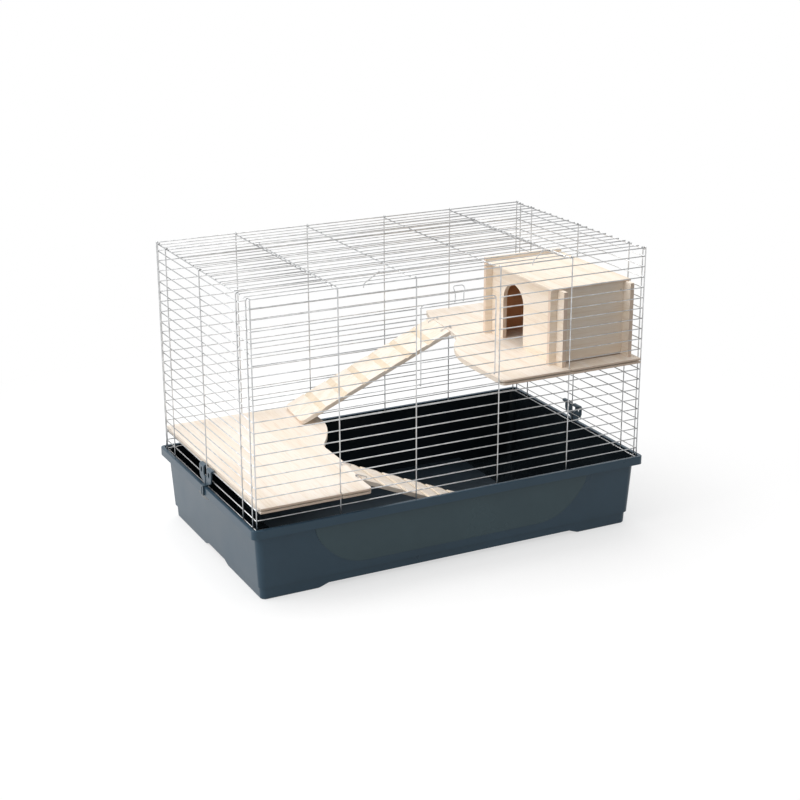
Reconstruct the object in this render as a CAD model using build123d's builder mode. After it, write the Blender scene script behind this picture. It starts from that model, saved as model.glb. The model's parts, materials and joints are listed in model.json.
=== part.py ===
from build123d import *
import math
import os

os.makedirs("parts", exist_ok=True)

# Indoor rabbit cage: a deep plastic tray, a wire cage that lifts off it, two doors, two wooden
# shelves joined by ramps, and a wooden house. The origin is at the bottom centre of the tray.
# +Z is up, +X runs along the cage to the house end, and -Y is the side with the front door.

# ---------------------------------------------------------------- driving sizes, millimetres
# Tray
tray_length = 1000.0
tray_depth = 595.0
tray_height = 176.0
tray_shell = 2.6
rim_skirt = 20.0
rim_corner = 12.0
ledge_drop = 5.5
seat_corner = 4.0
ledge_width = 6.6
rim_land = 9.0
wall_lean = 8.5
wall_corner = 18.0
plinth_height = 30.0
plinth_setback = 3.5
plinth_lean = 1.5
plinth_edge = 4.0
foot_height = 10.0
foot_reach_x = 160.0
foot_reach_y = 221.0
foot_slope = 28.0
lens_half_width = 350.0
lens_bottom = 49.0
lens_rise = 1.2
lens_sweep = 88.0

# Wires
mesh_wire = 2.5
post_wire = 2.8
thin_wire = 2.2
hook_wire = 2.0
wire_fit = 0.10
joint_gap = 0.30

# Cage
cage_inset = 14.0
seat_gap = 0.10
first_gap = 22.4
mesh_pitch = 24.6
mesh_rows = 20
rail_gap = 19.4
door_bay = 208.0
middle_bay = 185.0
side_end_post = 12.0
side_post = 66.5
roof_rows = 21
thick_every = 3

# Front door
door_side_gap = 11.0
door_first_row = 10
door_last_row = 17
door_top_rise = 7.0
door_corner = 8.0
latch_half_width = 10.5
latch_arch = 13.0
latch_stub = 15.0
latch_height = 32.0
latch_lean = 7.0
latch_stub_bend = 5.0
latch_side_bend = 4.0

# Top door
top_door_depth = 441.0
top_door_side_gap = 8.0
top_door_front_gap = 9.0
top_door_last_row = 16
top_latch_row = 3
top_latch_offset = 77.0
top_latch_left_x = -152.0
top_latch_right_x = 262.0
top_latch_drop = 8.0

# Wooden boards
shelf_thickness = 12.0
board_thickness = 10.0
roof_thickness = 5.0
shelf_lip = 12.0
shelf_end_gap = 6.0
kerf_clear = 0.5
kerf_past_wire = 2.0
notch_clear = 0.8
shelf_corner = 10.0
lower_shelf_row = 1
upper_shelf_row = 9
lower_shelf_back = 357.0
lower_shelf_front = 270.0
lower_shelf_step = 283.0
lower_bay_start = 262.0
lower_bay_end = 480.0
upper_shelf_front = 371.0
upper_shelf_ramp = 284.0
upper_shelf_back = 258.0
upper_curve_start = 150.0

# Ramps
ramp_width = 132.0
ramp_thickness = 10.0
ramp_end_gap = 1.2
ramp_side_margin = 6.0
ramp_corner = 14.0
upper_ramp_length = 432.0
upper_ramp_skew = 5.9
upper_ramp_y = 172.0
lower_ramp_length = 508.0
lower_ramp_y = -179.0
tread_pitch = 62.0
tread_length = 16.0
tread_depth = 2.6
tread_face = 1.5
upper_treads = 6
upper_first_tread = 50.0
lower_treads = 8
lower_first_tread = 38.0
eye_inset = 9.0
eye_spread = 42.0
eye_width = 12.0
eye_rise = 4.0
eye_depth = 7.0
hook_shank = 16.0
hook_rise = 3.2
hook_bite = 7.0

# House
house_left_gap = 209.0
house_right_gap = 29.0
house_front_gap = 37.0
house_depth = 293.0
house_wall_height = 177.0
house_overhang = 18.0
house_lip = 28.0
house_back_lip = 15.0
house_back_rise = 7.0
house_right_lip = 5.0
arch_width = 93.0
arch_spring = 98.0
arch_setback = 192.5
slot_fit = 0.15
sill_gap = 3.0
nail_head = 4.0
nail_shank = 1.8
nail_length = 8.0
nail_inset = 7.0
nail_drop = 20.0
roof_overhang = 7.0

# Tray clips
clip_width = 72.0
clip_ear_width = 26.0
clip_thickness = 3.6
clip_row = 1
clip_ear_drop = 20.0
clip_ear_hole = 9.0
clip_hole_rise = 13.0
clip_jaw = 2.4
clip_stem_width = 15.0
clip_foot_drop = 19.5
clip_foot_slot = 4.0
clip_shoulder = 9.0
clip_rib = 1.6
clip_bevel = 3.5

# ---------------------------------------------------------------- worked-out sizes
mesh_r = mesh_wire / 2
post_r = post_wire / 2
thin_r = thin_wire / 2
hook_r = hook_wire / 2
half_length = tray_length / 2 - cage_inset
half_depth = tray_depth / 2 - cage_inset

ledge_z = tray_height - ledge_drop
base_wire_z = ledge_z + seat_gap + mesh_r
first_row_z = base_wire_z + first_gap
last_row_z = first_row_z + (mesh_rows - 1) * mesh_pitch
rail_z = last_row_z + rail_gap
post_step = 2 * post_r + wire_fit
cross_z = rail_z - post_step
roof_pitch = 2 * half_depth / roof_rows

post_xs = [-half_length, -door_bay / 2 - middle_bay, -door_bay / 2]
post_xs = post_xs + [-x for x in reversed(post_xs)]
side_ys = [-half_depth + side_end_post, -half_depth + side_post, 0.0]
side_ys = side_ys + [half_depth - side_post, half_depth - side_end_post]


def row_z(row):
    """Height of one of the level mesh wires, counted from 0 above the bottom wire."""
    return first_row_z + row * mesh_pitch


def roof_y(row):
    """Place across the cage of one of the long top wires, counted from the front rail."""
    return -half_depth + row * roof_pitch


def roof_r(row):
    """Half thickness of a long top wire: every third one is heavy."""
    return post_r if row % thick_every == 0 else thin_r


def roof_z(row):
    """Centre height of a long top wire, so that all of them lie on the cross wires."""
    return rail_z - post_r + roof_r(row)


# ---------------------------------------------------------------- helpers
def straight_wires(start, places, radius, length):
    """Add round wires that all leave one plane square to it."""
    with BuildSketch(start) as ends:
        with Locations(*places):
            Circle(radius)
    extrude(ends.sketch, amount=length)


def bent_wire(points, bend, radius, plane=Plane.XY):
    """Add one round wire of straight runs joined by tangent bends, its points measured in a plane."""
    with BuildLine(Plane.XY) as route:
        FilletPolyline(*points, radius=bend)
    path = plane.location * route.line
    with BuildSketch(Plane(origin=path @ 0, z_dir=path % 0)) as end:
        Circle(radius)
    sweep(sections=end.sketch, path=path)


def rounded_plate(bottom, length, depth, corner, height):
    """Add a block with rounded upright edges, standing on a level."""
    with BuildSketch(Plane.XY.offset(bottom)) as outline:
        RectangleRounded(length, depth, corner)
    extrude(outline.sketch, amount=height)


def leaning_block(bottom, top, inset_bottom, inset_top, corner):
    """Add a block whose four sides lean outwards from its bottom to its top."""
    shrink = inset_bottom - inset_top
    with BuildSketch(Plane.XY.offset(bottom)) as low:
        RectangleRounded(tray_length - 2 * inset_bottom, tray_depth - 2 * inset_bottom, corner - shrink / 2)
    with BuildSketch(Plane.XY.offset(top)) as high:
        RectangleRounded(tray_length - 2 * inset_top, tray_depth - 2 * inset_top, corner)
    loft([low.sketch.face(), high.sketch.face()])


def underside_channels(grow):
    """Add the two crossing channels between the feet, larger all round by grow."""
    reach_x = tray_length / 2 - plinth_foot_inset - foot_reach_x
    reach_y = tray_depth / 2 - plinth_foot_inset - foot_reach_y
    top = foot_height + grow
    for plane, reach, run in ((Plane.XZ, reach_x, tray_depth), (Plane.YZ, reach_y, tray_length)):
        with BuildSketch(plane) as section:
            with BuildLine():
                Polyline(
                    (-reach - foot_slope - grow, -1),
                    (-reach - foot_slope - grow, 0),
                    (-reach - grow / 2, top),
                    (reach + grow / 2, top),
                    (reach + foot_slope + grow, 0),
                    (reach + foot_slope + grow, -1),
                    close=True,
                )
            make_face()
        extrude(section.sketch, amount=run / 2, both=True)


# ---------------------------------------------------------------- tray
# Insets are measured inwards from the outer edge of the rim.
riser_inset = rim_land
ledge_inset = rim_land + ledge_width
wall_top_inset = ledge_inset - tray_shell
wall_foot_inset = wall_top_inset + wall_lean
plinth_top_inset = wall_foot_inset + plinth_setback
plinth_foot_inset = plinth_top_inset + plinth_lean

with BuildPart() as tray_hollow:
    leaning_block(
        plinth_height + tray_shell,
        ledge_z,
        wall_foot_inset + tray_shell,
        ledge_inset,
        wall_corner,
    )
    leaning_block(
        tray_shell,
        plinth_height + tray_shell,
        plinth_foot_inset + tray_shell,
        plinth_top_inset + tray_shell,
        wall_corner - wall_lean / 2,
    )
    with BuildSketch(Plane.XY.offset(ledge_z)) as ledge_mouth:
        RectangleRounded(tray_length - 2 * riser_inset, tray_depth - 2 * riser_inset, seat_corner)
    extrude(ledge_mouth.sketch, amount=ledge_drop + 1)

with BuildPart() as channel_cores:
    underside_channels(tray_shell)

with BuildPart() as channels:
    underside_channels(0)

with BuildPart() as tray:
    # Rim with its turned-down skirt, hollow from below as far as the ledge.
    skirt_foot = tray_height - rim_skirt
    skirt_length = tray_length - 2 * tray_shell
    skirt_depth = tray_depth - 2 * tray_shell
    under_ledge = ledge_z - tray_shell
    rounded_plate(skirt_foot, tray_length, tray_depth, rim_corner, rim_skirt)
    with BuildSketch(Plane.XY.offset(skirt_foot)) as gutter:
        RectangleRounded(skirt_length, skirt_depth, rim_corner - tray_shell)
    extrude(gutter.sketch, amount=under_ledge - skirt_foot, mode=Mode.SUBTRACT)
    with BuildSketch(Plane.XY.offset(under_ledge)) as rim_gutter:
        RectangleRounded(skirt_length, skirt_depth, rim_corner - tray_shell)
        riser_outer = riser_inset - tray_shell
        RectangleRounded(tray_length - 2 * riser_outer, tray_depth - 2 * riser_outer, seat_corner, mode=Mode.SUBTRACT)
    extrude(rim_gutter.sketch, amount=ledge_drop, mode=Mode.SUBTRACT)

    # Leaning walls, then the narrower plinth below them.
    leaning_block(plinth_height, ledge_z - tray_shell / 2, wall_foot_inset, wall_top_inset, wall_corner)
    leaning_block(0, plinth_height, plinth_foot_inset, plinth_top_inset, wall_corner - wall_lean / 2)
    fillet(tray.edges().group_by(Axis.Z)[0], radius=plinth_edge)

    # Inside of the tray, with a floor that follows the channels between the feet.
    add(tray_hollow.part - channel_cores.part, mode=Mode.SUBTRACT)
    add(channels.part, mode=Mode.SUBTRACT)

    # Curved panel standing proud of the front wall and of the back wall.
    wall_rise = ledge_z - plinth_height
    wall_tilt = math.degrees(math.atan2(wall_lean, wall_rise))
    lens_top = under_ledge
    for side in (-1, 1):
        foot_y = side * (tray_depth / 2 - wall_foot_inset)
        across = Vector(0, side * math.sin(math.radians(wall_tilt)), math.cos(math.radians(wall_tilt)))
        outwards = Vector(0, side * math.cos(math.radians(wall_tilt)), -math.sin(math.radians(wall_tilt)))
        wall_plane = Plane(origin=(0, foot_y, plinth_height), x_dir=across.cross(outwards), z_dir=outwards)
        low = (lens_bottom - plinth_height) / math.cos(math.radians(wall_tilt))
        high = (lens_top - plinth_height) / math.cos(math.radians(wall_tilt))
        with BuildSketch(wall_plane) as lens:
            with BuildLine():
                Line((-lens_half_width, high), (lens_half_width, high))
                shoulder = lens_half_width - lens_sweep
                Spline(
                    (lens_half_width, high),
                    (shoulder + lens_sweep * 0.62, low + (high - low) * 0.36),
                    (shoulder - lens_sweep * 0.5, low),
                    tangents=((0.05, -1), (-1, 0)),
                )
                Line((shoulder - lens_sweep * 0.5, low), (-shoulder + lens_sweep * 0.5, low))
                Spline(
                    (-shoulder + lens_sweep * 0.5, low),
                    (-shoulder - lens_sweep * 0.62, low + (high - low) * 0.36),
                    (-lens_half_width, high),
                    tangents=((-1, 0), (0.05, 1)),
                )
            make_face()
        extrude(lens.sketch, amount=lens_rise)
        extrude(lens.sketch, amount=-tray_shell / 2)


# ---------------------------------------------------------------- cage panels
def post_route(x, y, out_x, out_y, over_z, foot_z):
    """Points of an upright that hooks over a rail; out_x and out_y point out of the cage."""
    outer = (x + out_x * post_step, y + out_y * post_step)
    inner = (x - out_x * post_step, y - out_y * post_step)
    return [
        (*outer, foot_z),
        (*outer, over_z + post_step),
        (*inner, over_z + post_step),
        (*inner, over_z),
    ]


hook_bend = post_step * 0.95
post_foot = base_wire_z - mesh_r
mesh_end_x = half_length + post_r
bay_edge = door_bay / 2 + post_r

with BuildPart() as front_panel:
    full_rows = [base_wire_z]
    split_rows = []
    for row in range(mesh_rows):
        rows = split_rows if door_first_row < row <= door_last_row else full_rows
        rows.append(row_z(row))
    straight_wires(Plane.YZ.offset(-mesh_end_x), [(-half_depth, z) for z in full_rows], mesh_r, 2 * mesh_end_x)
    side_run = mesh_end_x - bay_edge + post_wire
    for start in (-mesh_end_x, mesh_end_x - side_run):
        straight_wires(Plane.YZ.offset(start), [(-half_depth, z) for z in split_rows], mesh_r, side_run)
    for x in post_xs:
        bent_wire(post_route(x, -half_depth, 0, -1, rail_z, post_foot), hook_bend, post_r)

with BuildPart() as back_panel:
    all_rows = [base_wire_z] + [row_z(row) for row in range(mesh_rows)]
    straight_wires(Plane.YZ.offset(-mesh_end_x), [(half_depth, z) for z in all_rows], mesh_r, 2 * mesh_end_x)
    for x in post_xs:
        bent_wire(post_route(x, half_depth, 0, 1, rail_z, post_foot), hook_bend, post_r)

side_end = half_depth - mesh_r - joint_gap


def side_panel_wires(side):
    """Add the level wires and the uprights of one end panel; side is -1 or 1."""
    places = [(side * half_length, z) for z in all_rows]
    straight_wires(Plane.XZ.offset(-side_end), places, mesh_r, 2 * side_end)
    for y in side_ys:
        bent_wire(post_route(side * half_length, y, side, 0, cross_z, post_foot), hook_bend, post_r)


with BuildPart() as left_panel:
    side_panel_wires(-1)

with BuildPart() as right_panel:
    side_panel_wires(1)

hinge_y = -half_depth + top_door_depth
opening_x = door_bay / 2 + middle_bay
cross_end = half_depth + post_r

with BuildPart() as top_panel:
    for row in range(roof_rows + 1):
        spot = [(roof_y(row), roof_z(row))]
        if 0 < row <= top_door_last_row:
            run = mesh_end_x - opening_x + post_r
            straight_wires(Plane.YZ.offset(-mesh_end_x), spot, roof_r(row), run)
            straight_wires(Plane.YZ.offset(mesh_end_x - run), spot, roof_r(row), run)
        else:
            straight_wires(Plane.YZ.offset(-mesh_end_x), spot, roof_r(row), 2 * mesh_end_x)
    hinge_run = opening_x + post_r
    straight_wires(Plane.YZ.offset(-hinge_run), [(hinge_y, rail_z)], post_r, 2 * hinge_run)
    full_cross = [(x, cross_z) for x in post_xs if abs(x) > door_bay / 2]
    short_cross = [(x, cross_z) for x in post_xs if abs(x) <= door_bay / 2]
    straight_wires(Plane.XZ.offset(-cross_end), full_cross, post_r, 2 * cross_end)
    straight_wires(Plane.XZ.offset(-cross_end), short_cross, post_r, cross_end - hinge_y + post_r)

# ---------------------------------------------------------------- front door
door_wire_r = mesh_r
door_hinge_z = row_z(door_first_row)
door_hinge_r = mesh_r + wire_fit + door_wire_r
door_half = door_bay / 2 - door_side_gap
door_top_z = row_z(door_last_row) + door_top_rise
door_face_y = -half_depth - door_hinge_r
eye_bend = door_hinge_r * 0.95


def door_hook(x):
    """Points of a door upright's curl round the hinge wire, from its free end outwards."""
    return [
        (x, -half_depth + door_hinge_r, door_hinge_z),
        (x, -half_depth + door_hinge_r, door_hinge_z - door_hinge_r),
        (x, door_face_y, door_hinge_z - door_hinge_r),
    ]


with BuildPart() as front_door:
    frame_points = door_hook(-door_half)
    frame_points += [(-door_half, door_face_y, door_top_z), (door_half, door_face_y, door_top_z)]
    frame_points += list(reversed(door_hook(door_half)))
    frame_bends = [eye_bend, eye_bend, door_corner, door_corner, eye_bend, eye_bend]
    bent_wire(frame_points, frame_bends, door_wire_r)
    door_rows = [(-half_depth, row_z(row)) for row in range(door_first_row + 1, door_last_row + 1)]
    door_run = door_half + door_wire_r
    straight_wires(Plane.YZ.offset(-door_run), door_rows, mesh_r, 2 * door_run)

latch_r = hook_r
latch_eye_r = door_wire_r + wire_fit + latch_r
latch_face_y = door_face_y - latch_eye_r
latch_bend = latch_eye_r * 0.95


def latch_eye(x):
    """Points of a latch eye round the door's top bar, from its free end to its stub."""
    return [
        (x, door_face_y + latch_eye_r, door_top_z),
        (x, door_face_y + latch_eye_r, door_top_z - latch_eye_r),
        (x, latch_face_y, door_top_z - latch_eye_r),
    ]


with BuildPart() as front_door_latch:
    arch_foot_z = door_top_z + latch_stub
    arch_mid_z = door_top_z + (latch_stub + latch_height) / 2
    arch_top_z = door_top_z + latch_height
    left_side = latch_eye(-latch_half_width) + [
        (-latch_half_width, latch_face_y, arch_foot_z),
        (-latch_arch, latch_face_y, arch_mid_z),
        (-latch_arch, latch_face_y + latch_lean, arch_top_z),
    ]
    right_side = [(-x, y, z) for x, y, z in reversed(left_side)]
    half_bends = [latch_bend, latch_bend, latch_stub_bend, latch_side_bend, latch_stub_bend]
    latch_bends = half_bends + list(reversed(half_bends))
    bent_wire(left_side + right_side, latch_bends, latch_r)

# ---------------------------------------------------------------- top door and its latches
top_door_half = opening_x - top_door_side_gap
top_front_y = -half_depth + top_door_front_gap
top_eye_bend = post_step * 0.95


def top_door_hook(x):
    """Points of a side wire's curl round the rear hinge wire, from its free end forwards."""
    return [
        (x, hinge_y, rail_z + post_step),
        (x, hinge_y + post_step, rail_z + post_step),
        (x, hinge_y + post_step, cross_z),
    ]


with BuildPart() as top_door:
    top_points = top_door_hook(-top_door_half)
    top_points += [(-top_door_half, top_front_y, cross_z), (top_door_half, top_front_y, cross_z)]
    top_points += list(reversed(top_door_hook(top_door_half)))
    top_bends = [top_eye_bend, top_eye_bend, door_corner, door_corner, top_eye_bend, top_eye_bend]
    bent_wire(top_points, top_bends, post_r)
    top_run = top_door_half + post_r
    for row in range(1, top_door_last_row + 1):
        straight_wires(Plane.YZ.offset(-top_run), [(roof_y(row), roof_z(row))], roof_r(row), 2 * top_run)
    inner_front = roof_y(1) - thin_r
    inner_back = roof_y(top_door_last_row) + thin_r
    inner_cross = [(-door_bay / 2, cross_z), (door_bay / 2, cross_z)]
    straight_wires(Plane.XZ.offset(-inner_back), inner_cross, post_r, inner_back - inner_front)

top_latch_y = roof_y(top_latch_row)
top_latch_r = hook_r
top_latch_eye = roof_r(top_latch_row) + wire_fit + top_latch_r
top_latch_z = rail_z + top_latch_eye
top_latch_tip_y = -half_depth - post_r - joint_gap - top_latch_r


def top_latch_wire(x):
    """Add one latch: an eye round a door wire, and an arm that ends over the front rail."""
    tip_x = x - top_latch_offset
    points = [
        (x, top_latch_y - top_latch_eye, rail_z),
        (x, top_latch_y - top_latch_eye, rail_z - top_latch_eye),
        (x, top_latch_y + top_latch_eye, rail_z - top_latch_eye),
        (x, top_latch_y + top_latch_eye, top_latch_z),
        (x, top_latch_y - top_latch_eye, top_latch_z),
        (tip_x, top_latch_tip_y, top_latch_z),
        (tip_x, top_latch_tip_y, top_latch_z - top_latch_drop),
    ]
    bends = [top_latch_eye * 0.95] * 3 + [1.0, top_latch_r * 2]
    bent_wire(points, bends, top_latch_r)


with BuildPart() as top_latch_left:
    top_latch_wire(top_latch_left_x)

with BuildPart() as top_latch_right:
    top_latch_wire(top_latch_right_x)

# ---------------------------------------------------------------- shelves
shelf_front_y = -half_depth - shelf_lip
shelf_back_y = half_depth + shelf_lip
lower_top_z = row_z(lower_shelf_row) + shelf_thickness / 2
upper_top_z = row_z(upper_shelf_row) + shelf_thickness / 2
kerf_height = mesh_wire + kerf_clear
kerf_depth = shelf_lip + kerf_past_wire
notch_depth = shelf_lip - post_step + post_r + wire_fit
notch_width = post_wire + notch_clear


def seat_in_wires(row):
    """Cut a shelf's edge kerfs for the level wires and its notches for the uprights."""
    for side in (-1, 1):
        edge_y = side * (half_depth + shelf_lip)
        kerf_y = edge_y - side * kerf_depth / 2
        with BuildSketch(Plane.XY.offset(row_z(row) - kerf_height / 2)) as kerf:
            with Locations((0, kerf_y)):
                Rectangle(tray_length, kerf_depth)
        extrude(kerf.sketch, amount=kerf_height, mode=Mode.SUBTRACT)
        notch_y = edge_y - side * notch_depth / 2
        with BuildSketch(Plane.XY.offset(row_z(row) - shelf_thickness)) as notches:
            with Locations(*[(x, notch_y) for x in post_xs]):
                Rectangle(notch_width, notch_depth)
        extrude(notches.sketch, amount=2 * shelf_thickness, mode=Mode.SUBTRACT)


def eye_holes(centre, along, top_z):
    """Cut the holes that hold the legs of a ramp's two eyes."""
    for offset in (-eye_spread, eye_spread):
        for leg in (-eye_width / 2, eye_width / 2):
            spot = centre + along * (offset + leg)
            with BuildSketch(Plane(origin=(spot.X, spot.Y, top_z - eye_depth - wire_fit))) as hole:
                Circle(hook_r + wire_fit / 2)
            extrude(hole.sketch, amount=eye_depth + 1, mode=Mode.SUBTRACT)


# Lower shelf: the ramp leaves its right edge near the front.
lower_edge_x = -half_length + lower_shelf_front
lower_step_x = -half_length + lower_shelf_step
lower_back_x = -half_length + lower_shelf_back
lower_ramp_far_y = lower_ramp_y + ramp_width / 2 + ramp_side_margin
lower_ramp_near_y = lower_ramp_y - ramp_width / 2 - ramp_side_margin

with BuildPart() as lower_platform:
    with BuildSketch(Plane.XY.offset(lower_top_z - shelf_thickness)) as lower_outline:
        with BuildLine():
            left_x = -half_length + shelf_end_gap
            bay_start_y = -half_depth + lower_bay_start
            bay_end_y = -half_depth + lower_bay_end
            bay_width = lower_back_x - lower_step_x
            bay_run = bay_end_y - bay_start_y
            Polyline(
                (lower_back_x, bay_end_y),
                (lower_back_x, shelf_back_y),
                (left_x, shelf_back_y),
                (left_x, shelf_front_y),
                (lower_edge_x, shelf_front_y),
                (lower_edge_x, lower_ramp_near_y),
                (lower_step_x, lower_ramp_far_y),
                (lower_step_x, bay_start_y),
            )
            Spline(
                (lower_step_x, bay_start_y),
                (lower_step_x + bay_width * 0.32, bay_start_y + bay_run * 0.24),
                (lower_back_x - bay_width * 0.11, bay_start_y + bay_run * 0.65),
                (lower_back_x, bay_end_y),
                tangents=((0.1, 1), (0, 1)),
            )
        make_face()
        front_corners = lower_outline.vertices().group_by(Axis.Y)[0]
        fillet(front_corners.sort_by(Axis.X)[-1], radius=shelf_corner)
    extrude(lower_outline.sketch, amount=shelf_thickness)
    seat_in_wires(lower_shelf_row)

# Upper shelf: its left edge is cut back towards the rear, where the ramp hangs.
upper_edge_x = half_length - upper_shelf_front - shelf_end_gap
upper_back_x = half_length - upper_shelf_back
skew = math.radians(upper_ramp_skew)
upper_along = Vector(math.sin(skew), math.cos(skew), 0)
upper_down = Vector(-math.cos(skew), math.sin(skew), 0)
upper_edge_mid = Vector(half_length - upper_shelf_ramp, upper_ramp_y, 0)
upper_half_edge = ramp_width / 2 + ramp_side_margin
upper_near = upper_edge_mid - upper_along * upper_half_edge
upper_far = upper_edge_mid + upper_along * upper_half_edge

with BuildPart() as upper_platform:
    with BuildSketch(Plane.XY.offset(upper_top_z - shelf_thickness)) as upper_outline:
        with BuildLine():
            right_x = half_length - shelf_end_gap
            curve_y = -half_depth + upper_curve_start
            curve_width = upper_near.X - upper_edge_x
            curve_run = upper_near.Y - curve_y
            Polyline(
                (upper_near.X, upper_near.Y),
                (upper_far.X, upper_far.Y),
                (upper_back_x, shelf_back_y),
                (right_x, shelf_back_y),
                (right_x, shelf_front_y),
                (upper_edge_x, shelf_front_y),
                (upper_edge_x, curve_y),
            )
            Spline(
                (upper_edge_x, curve_y),
                (upper_edge_x + curve_width * 0.09, curve_y + curve_run * 0.25),
                (upper_edge_x + curve_width * 0.51, curve_y + curve_run * 0.61),
                (upper_near.X, upper_near.Y),
                tangents=((0, 1), (upper_along.X, upper_along.Y)),
            )
        make_face()
        front_corners = upper_outline.vertices().group_by(Axis.Y)[0]
        fillet(front_corners.sort_by(Axis.X)[0], radius=shelf_corner)
    extrude(upper_outline.sketch, amount=shelf_thickness)
    seat_in_wires(upper_shelf_row)


# ---------------------------------------------------------------- ramps
def ramp_slope(length, drop):
    """Slope in degrees at which a plank of this length just lands on the surface below."""
    reach = math.hypot(length, ramp_thickness)
    return math.degrees(math.asin(drop / reach) - math.atan2(ramp_thickness, length))


def ramp_plane(edge_mid, down, slope):
    """Plane of a ramp's top face: x runs down the slope and z points out of the tread."""
    angle = math.radians(slope)
    downhill = down * math.cos(angle) - Vector(0, 0, math.sin(angle))
    normal = down * math.sin(angle) + Vector(0, 0, math.cos(angle))
    return Plane(origin=edge_mid, x_dir=downhill, z_dir=normal)


def ramp_board(top, length, treads, first_tread):
    """Add a plank with rounded lower corners and a row of grip notches across its top."""
    half = ramp_width / 2
    head = -2 * ramp_thickness
    with BuildSketch(top) as outline:
        with BuildLine():
            Polyline((head, -half), (length, -half), (length, half), (head, half), close=True)
        make_face()
        fillet(outline.vertices().group_by(Axis.X)[-1], radius=ramp_corner)
    extrude(outline.sketch, amount=-ramp_thickness)
    side = Plane(origin=top.origin, x_dir=top.x_dir, z_dir=-top.y_dir)
    with BuildSketch(side) as notches:
        for tread in range(treads):
            start = first_tread + tread * tread_pitch
            with BuildLine():
                Polyline(
                    (start, 0),
                    (start + tread_length, -tread_depth),
                    (start + tread_length + tread_face, 0),
                    close=True,
                )
            make_face()
    extrude(notches.sketch, amount=ramp_width, both=True, mode=Mode.SUBTRACT)


def trim_to_shelf(near, far, down, top_z):
    """Cut a ramp's head upright, just clear of the shelf edge that runs from near to far."""
    along = (far - near).normalized()
    first = near - along * ramp_width + down * ramp_end_gap
    last = far + along * ramp_width + down * ramp_end_gap
    behind = down * (-4 * ramp_thickness)
    with BuildSketch(Plane.XY.offset(top_z - 3 * ramp_thickness)) as head:
        with BuildLine():
            corners = [first, last, last + behind, first + behind]
            Polyline(*[(corner.X, corner.Y) for corner in corners], close=True)
        make_face()
    extrude(head.sketch, amount=6 * ramp_thickness, mode=Mode.SUBTRACT)


def ramp_hinge(edge_mid, down):
    """Middle of the line that a ramp swings about, at the height of its shelf's top."""
    return edge_mid - down * eye_inset


def ramp_eyes(edge_mid, down, along, top_z):
    """Add the two wire eyes that stand on a shelf and carry a ramp's hooks."""
    middle = ramp_hinge(edge_mid, down)
    for offset in (-eye_spread, eye_spread):
        first = middle + along * (offset - eye_width / 2)
        last = middle + along * (offset + eye_width / 2)
        points = [
            (first.X, first.Y, top_z - eye_depth),
            (first.X, first.Y, top_z + eye_rise),
            (last.X, last.Y, top_z + eye_rise),
            (last.X, last.Y, top_z - eye_depth),
        ]
        bent_wire(points, hook_r * 1.5, hook_r)


def ramp_hooks(top, edge_mid, down, along, top_z):
    """Add the two hooks that are set in a ramp's top end and curl round its eyes."""
    curl = 2 * hook_r + wire_fit
    pivot_z = top_z + eye_rise
    for offset in (-eye_spread, eye_spread):
        middle = ramp_hinge(edge_mid, down) + along * offset
        lateral = (middle - top.origin).dot(top.y_dir)
        pivot = Vector(middle.X, middle.Y, pivot_z)
        swing_plane = Plane(origin=pivot, x_dir=down, z_dir=down.cross(Vector(0, 0, 1)))
        entry = swing_plane.to_local_coords(top.from_local_coords(Vector(hook_shank, lateral, hook_rise)))
        end = swing_plane.to_local_coords(top.from_local_coords(Vector(hook_shank, lateral, -hook_bite)))
        points = [
            (curl * 0.5, -curl),
            (-curl, -curl),
            (-curl, curl),
            (curl * 0.4, curl),
            (entry.X, entry.Y),
            (end.X, end.Y),
        ]
        bends = [curl * 0.95, curl * 0.95, curl * 0.5, hook_r * 1.5]
        bent_wire(points, bends, hook_r, swing_plane)


def ramp_hook_holes(top, edge_mid, down, along):
    """Cut the holes in a ramp's top end that hold its two hooks."""
    for offset in (-eye_spread, eye_spread):
        middle = ramp_hinge(edge_mid, down) + along * offset
        lateral = (middle - top.origin).dot(top.y_dir)
        with BuildSketch(top.offset(-hook_bite - wire_fit)) as hole:
            with Locations((hook_shank, lateral)):
                Circle(hook_r + wire_fit / 2)
        extrude(hole.sketch, amount=hook_bite + 1, mode=Mode.SUBTRACT)


# Upper ramp: from the upper shelf down to the lower shelf.
upper_origin = Vector(upper_edge_mid.X, upper_edge_mid.Y, upper_top_z)
upper_drop = upper_top_z - lower_top_z - joint_gap
upper_slope = ramp_slope(upper_ramp_length, upper_drop)
upper_plane = ramp_plane(upper_origin, upper_down, upper_slope)

with BuildPart() as upper_ramp:
    ramp_board(upper_plane, upper_ramp_length, upper_treads, upper_first_tread)
    trim_to_shelf(upper_near, upper_far, upper_down, upper_top_z)
    ramp_hook_holes(upper_plane, upper_edge_mid, upper_down, upper_along)

with BuildPart() as upper_ramp_hooks:
    ramp_hooks(upper_plane, upper_edge_mid, upper_down, upper_along, upper_top_z)

with BuildPart() as upper_ramp_eyes:
    ramp_eyes(upper_edge_mid, upper_down, upper_along, upper_top_z)

# Lower ramp: from the lower shelf down to the tray floor.
lower_down = Vector(1, 0, 0)
lower_along = Vector(0, 1, 0)
lower_edge_mid = Vector((lower_edge_x + lower_step_x) / 2, lower_ramp_y, 0)
lower_origin = Vector(lower_edge_mid.X, lower_edge_mid.Y, lower_top_z)
floor_top = foot_height + tray_shell
lower_drop = lower_top_z - floor_top - joint_gap
lower_slope = ramp_slope(lower_ramp_length, lower_drop)
lower_plane = ramp_plane(lower_origin, lower_down, lower_slope)

with BuildPart() as lower_ramp:
    ramp_board(lower_plane, lower_ramp_length, lower_treads, lower_first_tread)
    lower_near = Vector(lower_edge_x, lower_ramp_near_y, 0)
    lower_far = Vector(lower_step_x, lower_ramp_far_y, 0)
    trim_to_shelf(lower_near, lower_far, lower_down, lower_top_z)
    ramp_hook_holes(lower_plane, lower_edge_mid, lower_down, lower_along)

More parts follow.
